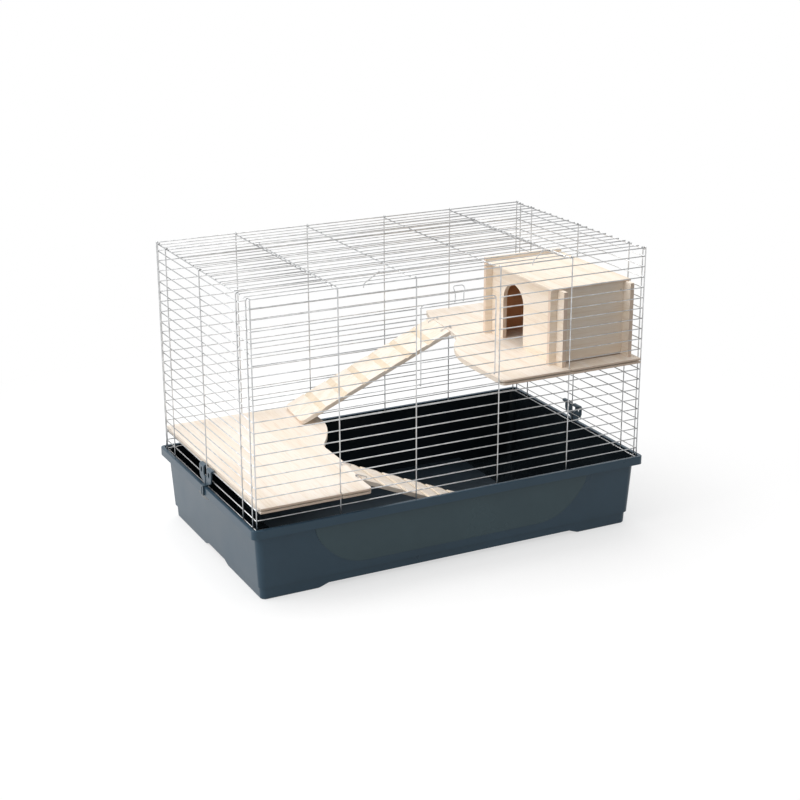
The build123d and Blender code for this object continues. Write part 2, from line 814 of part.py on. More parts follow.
with BuildPart() as lower_ramp_hooks:
    ramp_hooks(lower_plane, lower_edge_mid, lower_down, lower_along, lower_top_z)

with BuildPart() as lower_ramp_eyes:
    ramp_eyes(lower_edge_mid, lower_down, lower_along, lower_top_z)

# The holes for the eyes are drilled once both hinge lines are known.
with BuildPart() as lower_shelf_drilled:
    add(lower_platform.part)
    eye_holes(ramp_hinge(lower_edge_mid, lower_down), lower_along, lower_top_z)

with BuildPart() as upper_shelf_drilled:
    add(upper_platform.part)
    eye_holes(ramp_hinge(upper_edge_mid, upper_down), upper_along, upper_top_z)

# ---------------------------------------------------------------- house
house_left_x = half_length - house_left_gap
house_right_x = half_length - house_right_gap
house_front_y = -half_depth + house_front_gap
house_back_y = house_front_y + house_depth
arch_centre_y = house_front_y + arch_setback
wall_top_z = upper_top_z + house_wall_height
slot_width = board_thickness + 2 * slot_fit
half_height = house_wall_height / 2
front_mid_y = house_front_y + board_thickness / 2
back_mid_y = house_back_y + board_thickness / 2


def house_side_wall(face_x, with_door):
    """Add a side wall with its halving slots for the two cross boards, and the arched door."""
    wall_front = house_front_y - house_lip
    wall_back = house_back_y + house_back_lip
    with BuildSketch(Plane.YZ.offset(face_x)) as wall:
        with Locations(((wall_front + wall_back) / 2, upper_top_z + half_height)):
            Rectangle(wall_back - wall_front, house_wall_height)
        with Locations(*[(y, wall_top_z - half_height / 2) for y in (front_mid_y, back_mid_y)]):
            Rectangle(slot_width, half_height, mode=Mode.SUBTRACT)
        if with_door:
            with Locations((arch_centre_y, upper_top_z + arch_spring / 2)):
                Rectangle(arch_width, arch_spring, mode=Mode.SUBTRACT)
            with Locations((arch_centre_y, upper_top_z + arch_spring)):
                Circle(arch_width / 2, mode=Mode.SUBTRACT)
    extrude(wall.sketch, amount=board_thickness)


def house_cross_board(face_y, height, gap_under):
    """Add a front or back board with its halving slots for the two side walls."""
    left = house_left_x - house_overhang
    right = house_right_x + board_thickness + house_right_lip
    slot_height = half_height - slot_fit
    with BuildSketch(Plane.XZ.offset(-face_y - board_thickness)) as board:
        with Locations(((left + right) / 2, upper_top_z + height / 2)):
            Rectangle(right - left, height)
        slot_xs = [face_x + board_thickness / 2 for face_x in (house_left_x, house_right_x)]
        with Locations(*[(x, upper_top_z + slot_height / 2) for x in slot_xs]):
            Rectangle(slot_width, slot_height + 2 * slot_fit, mode=Mode.SUBTRACT)
        if gap_under:
            gap_start = house_left_x + board_thickness + house_overhang
            with Locations(((gap_start + house_right_x) / 2, upper_top_z + gap_under / 2)):
                Rectangle(house_right_x - gap_start, gap_under, mode=Mode.SUBTRACT)
    extrude(board.sketch, amount=board_thickness)


with BuildPart() as house_left_wall:
    house_side_wall(house_left_x, True)

with BuildPart() as house_right_wall:
    house_side_wall(house_right_x, False)

nail_xs = [house_left_x + board_thickness + nail_inset, house_right_x - nail_inset]
nail_z = wall_top_z - nail_drop

with BuildPart() as house_front_board:
    house_cross_board(house_front_y, house_wall_height, sill_gap)
    with BuildSketch(Plane.XZ.offset(-house_front_y)) as nail_holes:
        with Locations(*[(x, nail_z) for x in nail_xs]):
            Circle(nail_shank / 2 + wire_fit / 2)
    extrude(nail_holes.sketch, amount=-nail_length - wire_fit, mode=Mode.SUBTRACT)

with BuildPart() as house_back_board:
    house_cross_board(house_back_y, house_wall_height + roof_thickness + house_back_rise, 0)

with BuildPart() as house_roof:
    roof_left = house_left_x - house_overhang
    roof_right = house_right_x + board_thickness + house_right_lip
    roof_front = house_front_y - roof_overhang
    roof_back = house_back_y - slot_fit
    with BuildSketch(Plane.XY.offset(wall_top_z)) as roof:
        with Locations(((roof_left + roof_right) / 2, (roof_front + roof_back) / 2)):
            Rectangle(roof_right - roof_left, roof_back - roof_front)
    extrude(roof.sketch, amount=roof_thickness)

with BuildPart() as house_nails:
    with BuildSketch(Plane.XZ.offset(-house_front_y)) as nail_heads:
        with Locations(*[(x, nail_z) for x in nail_xs]):
            Circle(nail_head / 2)
    extrude(nail_heads.sketch, amount=nail_shank / 3)
    with BuildSketch(Plane.XZ.offset(-house_front_y)) as nail_shanks:
        with Locations(*[(x, nail_z) for x in nail_xs]):
            Circle(nail_shank / 2)
    extrude(nail_shanks.sketch, amount=-nail_length)

# ---------------------------------------------------------------- tray clips
clip_axis_z = row_z(clip_row)
clip_inner = post_step + post_r + joint_gap
clip_outer = clip_inner + clip_thickness
foot_inner = cage_inset + joint_gap
foot_outer = foot_inner + clip_thickness
jaw_r = mesh_r + wire_fit + clip_jaw
shoulder_z = tray_height + joint_gap - clip_axis_z
shoulder_top = shoulder_z + clip_thickness
foot_z = tray_height - clip_foot_drop - clip_axis_z
half_clip = clip_width / 2
half_stem = clip_stem_width / 2
ear_inner = half_clip - clip_ear_width
ear_middle = half_clip - clip_ear_width / 2
body_top = -clip_ear_drop
body_foot = body_top - clip_shoulder


def tray_clip(side):
    """Add one clip: two hooked ears, a tapered body and a foot that laps the tray's rim."""
    wire_plane = Plane(origin=(side * half_length, 0, clip_axis_z), x_dir=(0, 1, 0), z_dir=(1, 0, 0))
    half_outline = [
        (half_stem, shoulder_z),
        (half_stem, body_foot - clip_shoulder),
        (half_clip - clip_shoulder / 2, body_foot),
        (half_clip, body_top),
        (half_clip, jaw_r),
        (ear_inner, jaw_r),
        (ear_inner, body_top),
    ]
    with BuildSketch(wire_plane.offset(side * clip_inner)) as outline:
        with BuildLine():
            Polyline(*half_outline, *[(-y, z) for y, z in reversed(half_outline)], close=True)
        make_face()
        fillet(outline.vertices().filter_by(lambda v: v.Y > shoulder_z + 1 and v.Y < jaw_r - 1), radius=clip_jaw * 1.6)
        with Locations(*[(y, body_top / 2) for y in (-ear_middle, ear_middle)]):
            SlotOverall(clip_hole_rise, clip_ear_hole, rotation=90, mode=Mode.SUBTRACT)
    extrude(outline.sketch, amount=side * clip_thickness)
    across = Plane(origin=(side * half_length, 0, clip_axis_z), x_dir=(side, 0, 0), z_dir=(0, -side, 0))
    with BuildSketch(across) as foot:
        with Locations(((clip_inner + foot_outer) / 2, (shoulder_z + shoulder_top) / 2)):
            Rectangle(foot_outer - clip_inner, clip_thickness)
        with Locations(((foot_inner + foot_outer) / 2, (foot_z + shoulder_top) / 2)):
            Rectangle(clip_thickness, shoulder_top - foot_z)
    extrude(foot.sketch, amount=half_stem, both=True)
    with BuildSketch(wire_plane.offset(side * foot_inner)) as foot_slot:
        with Locations((0, foot_z)):
            SlotOverall(2 * (shoulder_z - foot_z), clip_foot_slot, rotation=90)
    extrude(foot_slot.sketch, amount=side * clip_thickness, mode=Mode.SUBTRACT)
    with BuildSketch(across) as rib:
        with Locations((clip_outer + clip_rib * 3 / 8, (shoulder_z + body_top) / 2)):
            Rectangle(clip_rib * 5 / 4, body_top - shoulder_z)
    extrude(rib.sketch, amount=clip_rib, both=True)
    with BuildSketch(across) as jaw:
        Circle(jaw_r)
        with Locations((clip_outer / 2, jaw_r / 2)):
            Rectangle(clip_outer, jaw_r)
        Circle(mesh_r + wire_fit, mode=Mode.SUBTRACT)
        with Locations((-jaw_r / 4, -jaw_r / 2)):
            Rectangle(mesh_wire * 0.8, jaw_r, mode=Mode.SUBTRACT)
    for ear in (-1, 1):
        jaw_face = Plane(origin=across.origin, x_dir=across.x_dir, z_dir=across.z_dir).offset(ear * ear_middle)
        extrude(jaw_face.location * jaw.sketch_local, amount=clip_ear_width / 2, both=True)
    with BuildSketch(across) as top_bevel:
        with BuildLine():
            Polyline(
                (clip_outer, jaw_r),
                (clip_outer - clip_bevel, jaw_r),
                (clip_outer, jaw_r - clip_bevel),
                close=True,
            )
        make_face()
    extrude(top_bevel.sketch, amount=half_clip, both=True, mode=Mode.SUBTRACT)


with BuildPart() as clip_left:
    tray_clip(-1)

with BuildPart() as clip_right:
    tray_clip(1)

# ---------------------------------------------------------------- names and files
pieces = {
    "tray": tray,
    "clip_left": clip_left,
    "clip_right": clip_right,
    "front_panel": front_panel,
    "back_panel": back_panel,
    "left_panel": left_panel,
    "right_panel": right_panel,
    "top_panel": top_panel,
    "front_door": front_door,
    "front_door_latch": front_door_latch,
    "top_door": top_door,
    "top_latch_left": top_latch_left,
    "top_latch_right": top_latch_right,
    "lower_platform": lower_shelf_drilled,
    "upper_platform": upper_shelf_drilled,
    "upper_ramp": upper_ramp,
    "upper_ramp_hooks": upper_ramp_hooks,
    "upper_ramp_eyes": upper_ramp_eyes,
    "lower_ramp": lower_ramp,
    "lower_ramp_hooks": lower_ramp_hooks,
    "lower_ramp_eyes": lower_ramp_eyes,
    "house_left_wall": house_left_wall,
    "house_right_wall": house_right_wall,
    "house_front_board": house_front_board,
    "house_back_board": house_back_board,
    "house_roof": house_roof,
    "house_nails": house_nails,
}
for name, piece in pieces.items():
    piece.part.label = name
    export_step(piece.part, f"parts/{name}.step")
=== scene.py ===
"""Studio scene of an indoor rabbit cage: wire cage on a deep plastic tray, with wooden shelves and a house.

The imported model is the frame: it gives every place, and each piece made here rides on one of its bodies.
Lengths are in metres. +X runs along the cage to the house end, -Y is the front, +Z is up.
"""

import json
import logging
import math
from collections.abc import Callable, Sequence
from dataclasses import dataclass, field
from enum import Enum

import bmesh
import bpy
from mathutils import Matrix, Vector

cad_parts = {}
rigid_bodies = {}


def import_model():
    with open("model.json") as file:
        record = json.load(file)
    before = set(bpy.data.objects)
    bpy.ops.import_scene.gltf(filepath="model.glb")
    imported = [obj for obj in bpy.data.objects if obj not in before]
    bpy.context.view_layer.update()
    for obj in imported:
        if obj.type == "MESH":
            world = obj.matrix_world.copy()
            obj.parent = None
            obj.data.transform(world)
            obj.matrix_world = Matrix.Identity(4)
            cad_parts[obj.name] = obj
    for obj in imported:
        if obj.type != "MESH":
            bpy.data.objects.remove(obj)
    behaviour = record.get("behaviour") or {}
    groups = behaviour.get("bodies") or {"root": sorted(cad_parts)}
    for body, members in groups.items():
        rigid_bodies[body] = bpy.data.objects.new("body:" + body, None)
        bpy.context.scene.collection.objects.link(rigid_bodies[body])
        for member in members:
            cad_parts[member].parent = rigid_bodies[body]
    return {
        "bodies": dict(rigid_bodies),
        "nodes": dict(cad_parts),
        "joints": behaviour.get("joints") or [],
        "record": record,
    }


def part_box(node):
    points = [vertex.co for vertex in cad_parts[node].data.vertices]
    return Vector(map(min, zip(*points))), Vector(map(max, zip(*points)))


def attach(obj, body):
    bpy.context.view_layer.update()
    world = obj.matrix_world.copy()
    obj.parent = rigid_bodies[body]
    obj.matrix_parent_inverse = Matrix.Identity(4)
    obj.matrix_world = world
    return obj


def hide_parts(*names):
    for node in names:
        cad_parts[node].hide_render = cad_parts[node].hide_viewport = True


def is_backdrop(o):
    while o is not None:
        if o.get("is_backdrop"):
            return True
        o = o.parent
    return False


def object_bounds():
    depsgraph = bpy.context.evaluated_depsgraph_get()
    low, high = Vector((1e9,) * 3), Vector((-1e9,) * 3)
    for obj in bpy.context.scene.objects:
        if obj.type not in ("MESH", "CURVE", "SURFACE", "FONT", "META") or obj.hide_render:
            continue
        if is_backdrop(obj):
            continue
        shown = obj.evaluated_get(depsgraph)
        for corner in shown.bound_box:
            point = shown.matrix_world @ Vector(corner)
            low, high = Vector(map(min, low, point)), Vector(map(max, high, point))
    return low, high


LOG = logging.getLogger("cage")
MM = 0.001
WHITE = "#ffffff"

# Points closer than this are one point, and heights closer than NEAR are one height.
MERGE = 1e-6
NEAR = 0.01 * MM

# Most values of a noise texture lie between these two.
NOISE_LOW = 0.3
NOISE_HIGH = 0.7


class Slot(Enum):
    """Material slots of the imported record."""

    TRAY = "tray_plastic"
    CLIP = "clip_plastic"
    MESH = "mesh_wire"
    HOOK = "hook_wire"
    SHELF = "shelf_wood"
    RAMP = "ramp_wood"
    HOUSE = "house_wood"


class Grain(Enum):
    """Which way the grain of a board runs: the index of its axis."""

    ALONG_X = 0
    ALONG_Y = 1


class Skin(Enum):
    """Which finish a face of the tray's shell takes: the index of its material.

    The panel's paler finish is painted light, and the inside's and the floor's darker ones are painted
    shade.
    """

    OUTSIDE = 0
    PANEL = 1
    INSIDE = 2
    FLOOR = 3


class End(Enum):
    """Ends of the cage: the sign of their X."""

    LEFT = -1
    RIGHT = 1


# ---------------------------------------------------------------- small helpers
def linear(hex_colour: str) -> tuple[float, float, float, float]:
    """Turn an sRGB hex colour into linear RGBA.

    Args:
        hex_colour: Six hex digits, with or without a leading hash.

    Returns:
        Red, green, blue and alpha, each from 0 to 1.
    """
    digits = hex_colour.lstrip("#")
    channels = [int(digits[i : i + 2], 16) / 255 for i in (0, 2, 4)]
    red, green, blue = (c / 12.92 if c <= 0.04045 else ((c + 0.055) / 1.055) ** 2.4 for c in channels)
    return red, green, blue, 1.0


def blank_tree(owner: bpy.types.Material | bpy.types.World) -> bpy.types.NodeTree:
    """Give a material or the world an empty node tree.

    Args:
        owner: Material or world that takes the nodes.

    Returns:
        Its node tree, with nothing in it.
    """
    owner.use_nodes = True
    owner.node_tree.nodes.clear()
    return owner.node_tree


def add_node(
    tree: bpy.types.NodeTree,
    kind: str,
    settings: dict[str, object] | None = None,
    stops: tuple[tuple[float, str], ...] = (),
    **links: object,
) -> bpy.types.Node:
    """Add one shader node with its settings, input values and links.

    Args:
        tree: Node tree that takes the node.
        kind: Blender's type name for the node.
        settings: Values of the node's own properties.
        stops: For a colour ramp, the places and hex colours of its two stops.
        **links: Input to a value or to an output socket. An input is its name, with spaces as
            underscores, or the letter i and its index.

    Returns:
        The new node.
    """
    node = tree.nodes.new(kind)
    for name, value in (settings or {}).items():
        setattr(node, name, value)
    for name, value in links.items():
        key = int(name[1:]) if name[0] == "i" and name[1:].isdigit() else name.replace("_", " ")
        if isinstance(value, bpy.types.NodeSocket):
            tree.links.new(value, node.inputs[key])
        else:
            node.inputs[key].default_value = value
    if stops:
        for element, (place, colour) in zip(node.color_ramp.elements, stops):
            element.position = place
            element.color = linear(colour)
    return node


def seen_rays(tree: bpy.types.NodeTree) -> bpy.types.NodeSocket:
    """Tell rays that see a surface, straight or in a reflection, from rays that only carry its light.

    Args:
        tree: Node tree that takes the nodes.

    Returns:
        1 for camera, glossy and transmission rays, and 0 for the others.
    """
    path = add_node(tree, "ShaderNodeLightPath")
    total = path.outputs["Is Camera Ray"]
    for name in ("Is Glossy Ray", "Is Transmission Ray"):
        larger = add_node(tree, "ShaderNodeMath", {"operation": "MAXIMUM"}, i0=total, i1=path.outputs[name])
        total = larger.outputs[0]
    return total


def new_object(name: str, bm: bmesh.types.BMesh, smooth_angle: float = 35.0) -> bpy.types.Object:
    """Turn a finished bmesh into a linked object with smooth shading up to an angle.

    Args:
        name: Name of the piece.
        bm: The mesh, which is freed here.
        smooth_angle: Edges sharper than this many degrees stay crisp.

    Returns:
        The object, at the origin.
    """
    bm.normal_update()
    limit = math.radians(smooth_angle)
    for edge in bm.edges:
        edge.smooth = len(edge.link_faces) == 2 and edge.calc_face_angle(0.0) < limit
    for face in bm.faces:
        face.smooth = True
    mesh = bpy.data.meshes.new(name)
    bm.to_mesh(mesh)
    bm.free()
    obj = bpy.data.objects.new(name, mesh)
    bpy.context.scene.collection.objects.link(obj)
    return obj


def mount(
    obj: bpy.types.Object, body: str, slot: Slot, material: bpy.types.Material, *nodes: str
) -> bpy.types.Object:
    """Dress a piece, put it on its body and let it stand for CAD nodes.

    Args:
        obj: The piece, in place.
        body: CAD body that it rides on.
        slot: The record's slot for its finish; not used.
        material: Its material.
        *nodes: CAD nodes that it replaces.

    Returns:
        The same piece.
    """
    obj.data.materials.append(material)
    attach(obj, body)
    if nodes:
        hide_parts(*nodes)
    LOG.info("%s on %s: %d faces", obj.name, body, len(obj.data.polygons))
    return obj


# ---------------------------------------------------------------- finishes
class Finish:
    """Base of every finish: makes one material from the finish's own shader."""

    name: str

    def build(self) -> bpy.types.Material:
        """Make the material.

        Returns:
            The finished material.
        """
        material = bpy.data.materials.new(self.name)
        tree = blank_tree(material)
        add_node(tree, "ShaderNodeOutputMaterial", Surface=self.shader(tree).outputs[0])
        return material

    def shader(self, tree: bpy.types.NodeTree) -> bpy.types.Node:
        """Add the shader with its patterns; each finish has its own."""
        raise NotImplementedError


@dataclass(frozen=True)
class MouldedPolypropylene(Finish):
    """Polypropylene, injection moulded in a spark-textured mould.

    The fine texture spreads the gloss into a soft satin sheen that shows at low angles, and the melt's
    flow leaves faint cloudy tone changes. The texture's real grains are a few tenths of a millimetre,
    too fine to show, so they are drawn as coarse as they need to.
    """

    name: str = "moulded_polypropylene"
    colour: str = "#2f4453"
    pale: str = "#364c5c"
    sheen_tint: str = "#cfe0ea"
    ior: float = 1.49
    roughness: float = 0.3
    smoother: float = 0.03
    rougher: float = 0.05
    grain_mm: float = 1.4
    grain_depth_mm: float = 0.12
    grain_strength: float = 0.25
    flow_mm: float = 110.0
    flow_roughness: float = 0.55
    flow_stops: tuple[float, float] = (0.3, 0.75)

    def shader(self, tree: bpy.types.NodeTree) -> bpy.types.Node:
        """Satin dark plastic; the mould's texture breaks up the highlights.

        Args:
            tree: The material's node tree.

        Returns:
            The plastic's shader.
        """
        place = add_node(tree, "ShaderNodeTexCoord").outputs["Object"]
        flow = add_node(
            tree,
            "ShaderNodeTexNoise",
            Vector=place,
            Scale=1 / (self.flow_mm * MM),
            Detail=3.0,
            Roughness=self.flow_roughness,
        ).outputs["Fac"]
        grain = add_node(
            tree, "ShaderNodeTexNoise", Vector=place, Scale=1 / (self.grain_mm * MM), Detail=2.0
        ).outputs["Fac"]
        stops = tuple(zip(self.flow_stops, (self.colour, self.pale)))
        tone = add_node(tree, "ShaderNodeValToRGB", stops=stops, Fac=flow).outputs["Color"]
        gloss = add_node(
            tree,
            "ShaderNodeMapRange",
            Value=flow,
            From_Min=NOISE_LOW,
            From_Max=NOISE_HIGH,
            To_Min=self.roughness - self.smoother,
            To_Max=self.roughness + self.rougher,
        ).outputs["Result"]
        bump = add_node(
            tree,
            "ShaderNodeBump",
            Height=grain,
            Strength=self.grain_strength,
            Distance=self.grain_depth_mm * MM,
        ).outputs["Normal"]
        return add_node(
            tree,
            "ShaderNodeBsdfPrincipled",
            Base_Color=tone,
            Roughness=gloss,
            Normal=bump,
            Specular_Tint=linear(self.sheen_tint),
            IOR=self.ior,
        )


@dataclass(frozen=True)
class PanelPolypropylene(MouldedPolypropylene):
    """Polypropylene of the raised panel, left smoother than the wall round it by a finer etch.

    It is the same plastic as the wall; its paler colour is painted light, for the light that the panel's
    proud face catches.
    """

    name: str = "fine_textured_polypropylene"
    # Paler than the wall: painted light on the panel's face.
    colour: str = "#3b4e54"
    pale: str = "#43565c"
    roughness: float = 0.24


@dataclass(frozen=True)
class FloorPolypropylene(MouldedPolypropylene):
    """Polypropylene of the tray's floor, rougher than the inside walls beside it.

    It is the same plastic as the outside; its darker colour is painted shade, for the low light inside the
    tray, less dark than the walls' painted shade, so the floor looks greyer than they do.
    """

    name: str = "satin_polypropylene"
    # Darker than the outside: painted shade inside the tray.
    colour: str = "#232d35"
    pale: str = "#2a3640"
    roughness: float = 0.36


@dataclass(frozen=True)
class ClipPolypropylene(MouldedPolypropylene):
    """Polypropylene of the clips, moulded apart from the tray and a little duller than it.

    Its paler colour is painted light: the lit face of the clip at the left end, given to both clips.
    """

    name: str = "clip_polypropylene"
    # Paler than the tray: painted light.
    colour: str = "#44535e"
    pale: str = "#4c5c68"
    roughness: float = 0.34


@dataclass(frozen=True)
class PaintedShadeInsidePolypropylene(MouldedPolypropylene):
    """Polypropylene of the tray's inside walls, glossier than the outside.

    It is the same plastic as the outside; its much darker colour is painted shade, for the low light inside
    the deep tray. It mirrors softly what stands over it, and the long low waves are a polisher's.
    """

    name: str = "polished_polypropylene"
    # Much darker than the outside: painted shade inside the tray.
    colour: str = "#171d21"
    pale: str = "#1b2226"
    roughness: float = 0.2
    grain_mm: float = 9.0
    grain_depth_mm: float = 0.05


@dataclass(frozen=True)
class ZincPlatedWire(Finish):
    """Drawn steel wire, bright zinc plated.

    The plating is bright but not a mirror: drawing lines soften it along the wire, and it dulls in
    patches. Real drawing lines are far too fine to show, so they are drawn as coarse as they need to.
    """

    name: str = "zinc_plated_wire"
    bright: str = "#dcddde"
    dull: str = "#b9babb"
    roughness: float = 0.36
    smoother: float = 0.06
    rougher: float = 0.08
    patch_mm: float = 14.0
    line_mm: float = 0.7
    line_depth_mm: float = 0.05
    line_strength: float = 0.15

    def shader(self, tree: bpy.types.NodeTree) -> bpy.types.Node:
        """Metal with a soft gloss that varies along the wire.

        Args:
            tree: The material's node tree.

        Returns:
            The plating's shader.
        """
        place = add_node(tree, "ShaderNodeTexCoord").outputs["Object"]
        patches = add_node(
            tree, "ShaderNodeTexNoise", Vector=place, Scale=1 / (self.patch_mm * MM), Detail=3.0
        ).outputs["Fac"]
        lines = add_node(
            tree, "ShaderNodeTexNoise", Vector=place, Scale=1 / (self.line_mm * MM), Detail=1.0
        ).outputs["Fac"]
        stops = ((NOISE_LOW, self.dull), (NOISE_HIGH, self.bright))
        tone = add_node(tree, "ShaderNodeValToRGB", stops=stops, Fac=patches).outputs["Color"]
        gloss = add_node(
            tree,
            "ShaderNodeMapRange",
            Value=patches,
            From_Min=NOISE_LOW,
            From_Max=NOISE_HIGH,
            To_Min=self.roughness + self.rougher,
            To_Max=self.roughness - self.smoother,
        ).outputs["Result"]
        bump = add_node(
            tree,
            "ShaderNodeBump",
            Height=lines,
            Strength=self.line_strength,
            Distance=self.line_depth_mm * MM,
        ).outputs["Normal"]
        return add_node(
            tree, "ShaderNodeBsdfPrincipled", Base_Color=tone, Roughness=gloss, Normal=bump, Metallic=1.0
        )


@dataclass(frozen=True)
class SandedPine(Finish):
    """Pine board, planed and sanded, left bare.

    Sanding leaves a matt, very pale face. Wide soft bands and thin late-wood lines run along the grain,
    fine pores show close up, and the cut ends are warmer and a little darker than the faces. Fibres and
    pores are really finer than a tenth of a millimetre, and are drawn as coarse as they need to show.
    """

    name: str = "sanded_pine"
    pale: str = "#f0e6db"
    band: str = "#ebdecf"
    line: str = "#dfcdb8"
    end: str = "#e6cebc"
    fibre: str = "#e9dcc6"
    grain: Grain = Grain.ALONG_X
    band_mm: float = 26.0
    band_stops: tuple[float, float] = (0.40, 0.56)
    band_waver: float = 0.4
    line_mm: float = 5.0
    line_stops: tuple[float, float] = (0.36, 0.44)
    line_waver: float = 0.3
    line_share: float = 0.22
    fibre_mm: float = 0.8
    fibre_stops: tuple[float, float] = (0.3, 0.55)
    fibre_share: float = 0.25
    fibre_depth_mm: float = 0.1
    fibre_strength: float = 0.2
    pore_mm: float = 1.6
    pore_stops: tuple[float, float] = (0.35, 0.6)
    cut_starts: float = 0.6
    cut_full: float = 0.9
    stretch: float = 22.0
    roughness: float = 0.66
    smoother: float = 0.06
    rougher: float = 0.08
    specular: float = 0.3
    seed: float = 0.0

    def shader(self, tree: bpy.types.NodeTree) -> bpy.types.Node:
        """Flat-sawn figure: noise pulled out along the grain, with end grain on the cut ends.

        Args:
            tree: The material's node tree.

        Returns:
            The wood's shader.
        """
        source = add_node(tree, "ShaderNodeTexCoord")
        along = [1.0, 1.0, 1.0]
        along[self.grain.value] = 1.0 / self.stretch
        # The seed cuts each board from another place in the timber.
        figure = add_node(
            tree,
            "ShaderNodeMapping",
            Vector=source.outputs["Object"],
            Scale=Vector(along),
            Location=Vector((self.seed, self.seed * 0.7, self.seed * 0.3)),
        ).outputs["Vector"]
        fibres = add_node(
            tree, "ShaderNodeTexNoise", Vector=figure, Scale=1 / (self.fibre_mm * MM), Detail=2.0
        ).outputs["Fac"]
        faces = self.face_tone(tree, figure, fibres)
        ends = self.end_tone(tree, source.outputs["Object"])
        cut = self.cut_share(tree, source.outputs["Normal"])
        colour = add_node(tree, "ShaderNodeMix", {"data_type": "RGBA"}, i0=cut, i6=faces, i7=ends).outputs[2]
        gloss = add_node(
            tree,
            "ShaderNodeMapRange",
            Value=fibres,
            From_Min=NOISE_LOW,
            From_Max=NOISE_HIGH,
            To_Min=self.roughness + self.rougher,
            To_Max=self.roughness - self.smoother,
        ).outputs["Result"]
        bump = add_node(
            tree,
            "ShaderNodeBump",
            Height=fibres,
            Strength=self.fibre_strength,
            Distance=self.fibre_depth_mm * MM,
        ).outputs["Normal"]
        return add_node(
            tree,
            "ShaderNodeBsdfPrincipled",
            Base_Color=colour,
            Roughness=gloss,
            Normal=bump,
            Specular_IOR_Level=self.specular,
        )

    def face_tone(
        self, tree: bpy.types.NodeTree, figure: bpy.types.NodeSocket, fibres: bpy.types.NodeSocket
    ) -> bpy.types.NodeSocket:
        """Colour of the sanded faces: soft bands, crossed by late-wood lines and fibres.

        Args:
            tree: The material's node tree.
            figure: Place in the timber, pulled out along the grain.
            fibres: Pattern of the fibres.

        Returns:
            The faces' colour.
        """
        bands = add_node(
            tree,
            "ShaderNodeTexNoise",
            Vector=figure,
            Scale=1 / (self.band_mm * MM),
            Detail=2.0,
            Distortion=self.band_waver,
        ).outputs["Fac"]
        lines = add_node(
            tree,
            "ShaderNodeTexNoise",
            Vector=figure,
            Scale=1 / (self.line_mm * MM),
            Detail=3.0,
            Distortion=self.line_waver,
        ).outputs["Fac"]
        stops = tuple(zip(self.band_stops, (self.band, self.pale)))
        colour = add_node(tree, "ShaderNodeValToRGB", stops=stops, Fac=bands).outputs["Color"]
        over = {"data_type": "RGBA", "blend_type": "MULTIPLY"}
        marks = (
            (lines, self.line_stops, self.line, self.line_share),
            (fibres, self.fibre_stops, self.fibre, self.fibre_share),
        )
        for pattern, places, dark, share in marks:
            stops = tuple(zip(places, (dark, WHITE)))
            mark = add_node(tree, "ShaderNodeValToRGB", stops=stops, Fac=pattern).outputs["Color"]
            colour = add_node(tree, "ShaderNodeMix", over, i0=share, i6=colour, i7=mark).outputs[2]
        return colour

    def end_tone(self, tree: bpy.types.NodeTree, place: bpy.types.NodeSocket) -> bpy.types.NodeSocket:
        """Colour of the cut ends: open pores instead of long fibres.

        Args:
            tree: The material's node tree.
            place: Place on the board.

        Returns:
            The ends' colour.
        """
        pores = add_node(
            tree, "ShaderNodeTexNoise", Vector=place, Scale=1 / (self.pore_mm * MM), Detail=3.0
        ).outputs["Fac"]
        stops = tuple(zip(self.pore_stops, (self.line, self.end)))
        return add_node(tree, "ShaderNodeValToRGB", stops=stops, Fac=pores).outputs["Color"]

    def cut_share(self, tree: bpy.types.NodeTree, normal: bpy.types.NodeSocket) -> bpy.types.NodeSocket:
        """How far a surface is a cut end: 0 along the grain, 1 square across it.

        Args:
            tree: The material's node tree.
            normal: The board's surface normal.

        Returns:
            Share of end grain.
        """
        facing = add_node(tree, "ShaderNodeSeparateXYZ", Vector=normal).outputs[self.grain.value]
        squarely = add_node(tree, "ShaderNodeMath", {"operation": "ABSOLUTE"}, i0=facing).outputs[0]
        return add_node(
            tree,
            "ShaderNodeMapRange",
            Value=squarely,
            From_Min=self.cut_starts,
            From_Max=self.cut_full,
            To_Min=0.0,
            To_Max=1.0,
        ).outputs["Result"]


@dataclass(frozen=True)
class PaintedShadePine:
    """Pine on faces that lie in shade: duller than the sanded faces, with a darker, warmer colour that is
    painted shade.
    """

    pale: str
    band: str
    roughness: float = 0.85

    def build(self, name: str) -> bpy.types.Material:
        """Make the finish of one board's faces whose darker colour is painted shade.

        Args:
            name: Name of the material.

        Returns:
            The material.
        """
        return SandedPine(name=name, pale=self.pale, band=self.band, roughness=self.roughness).build()


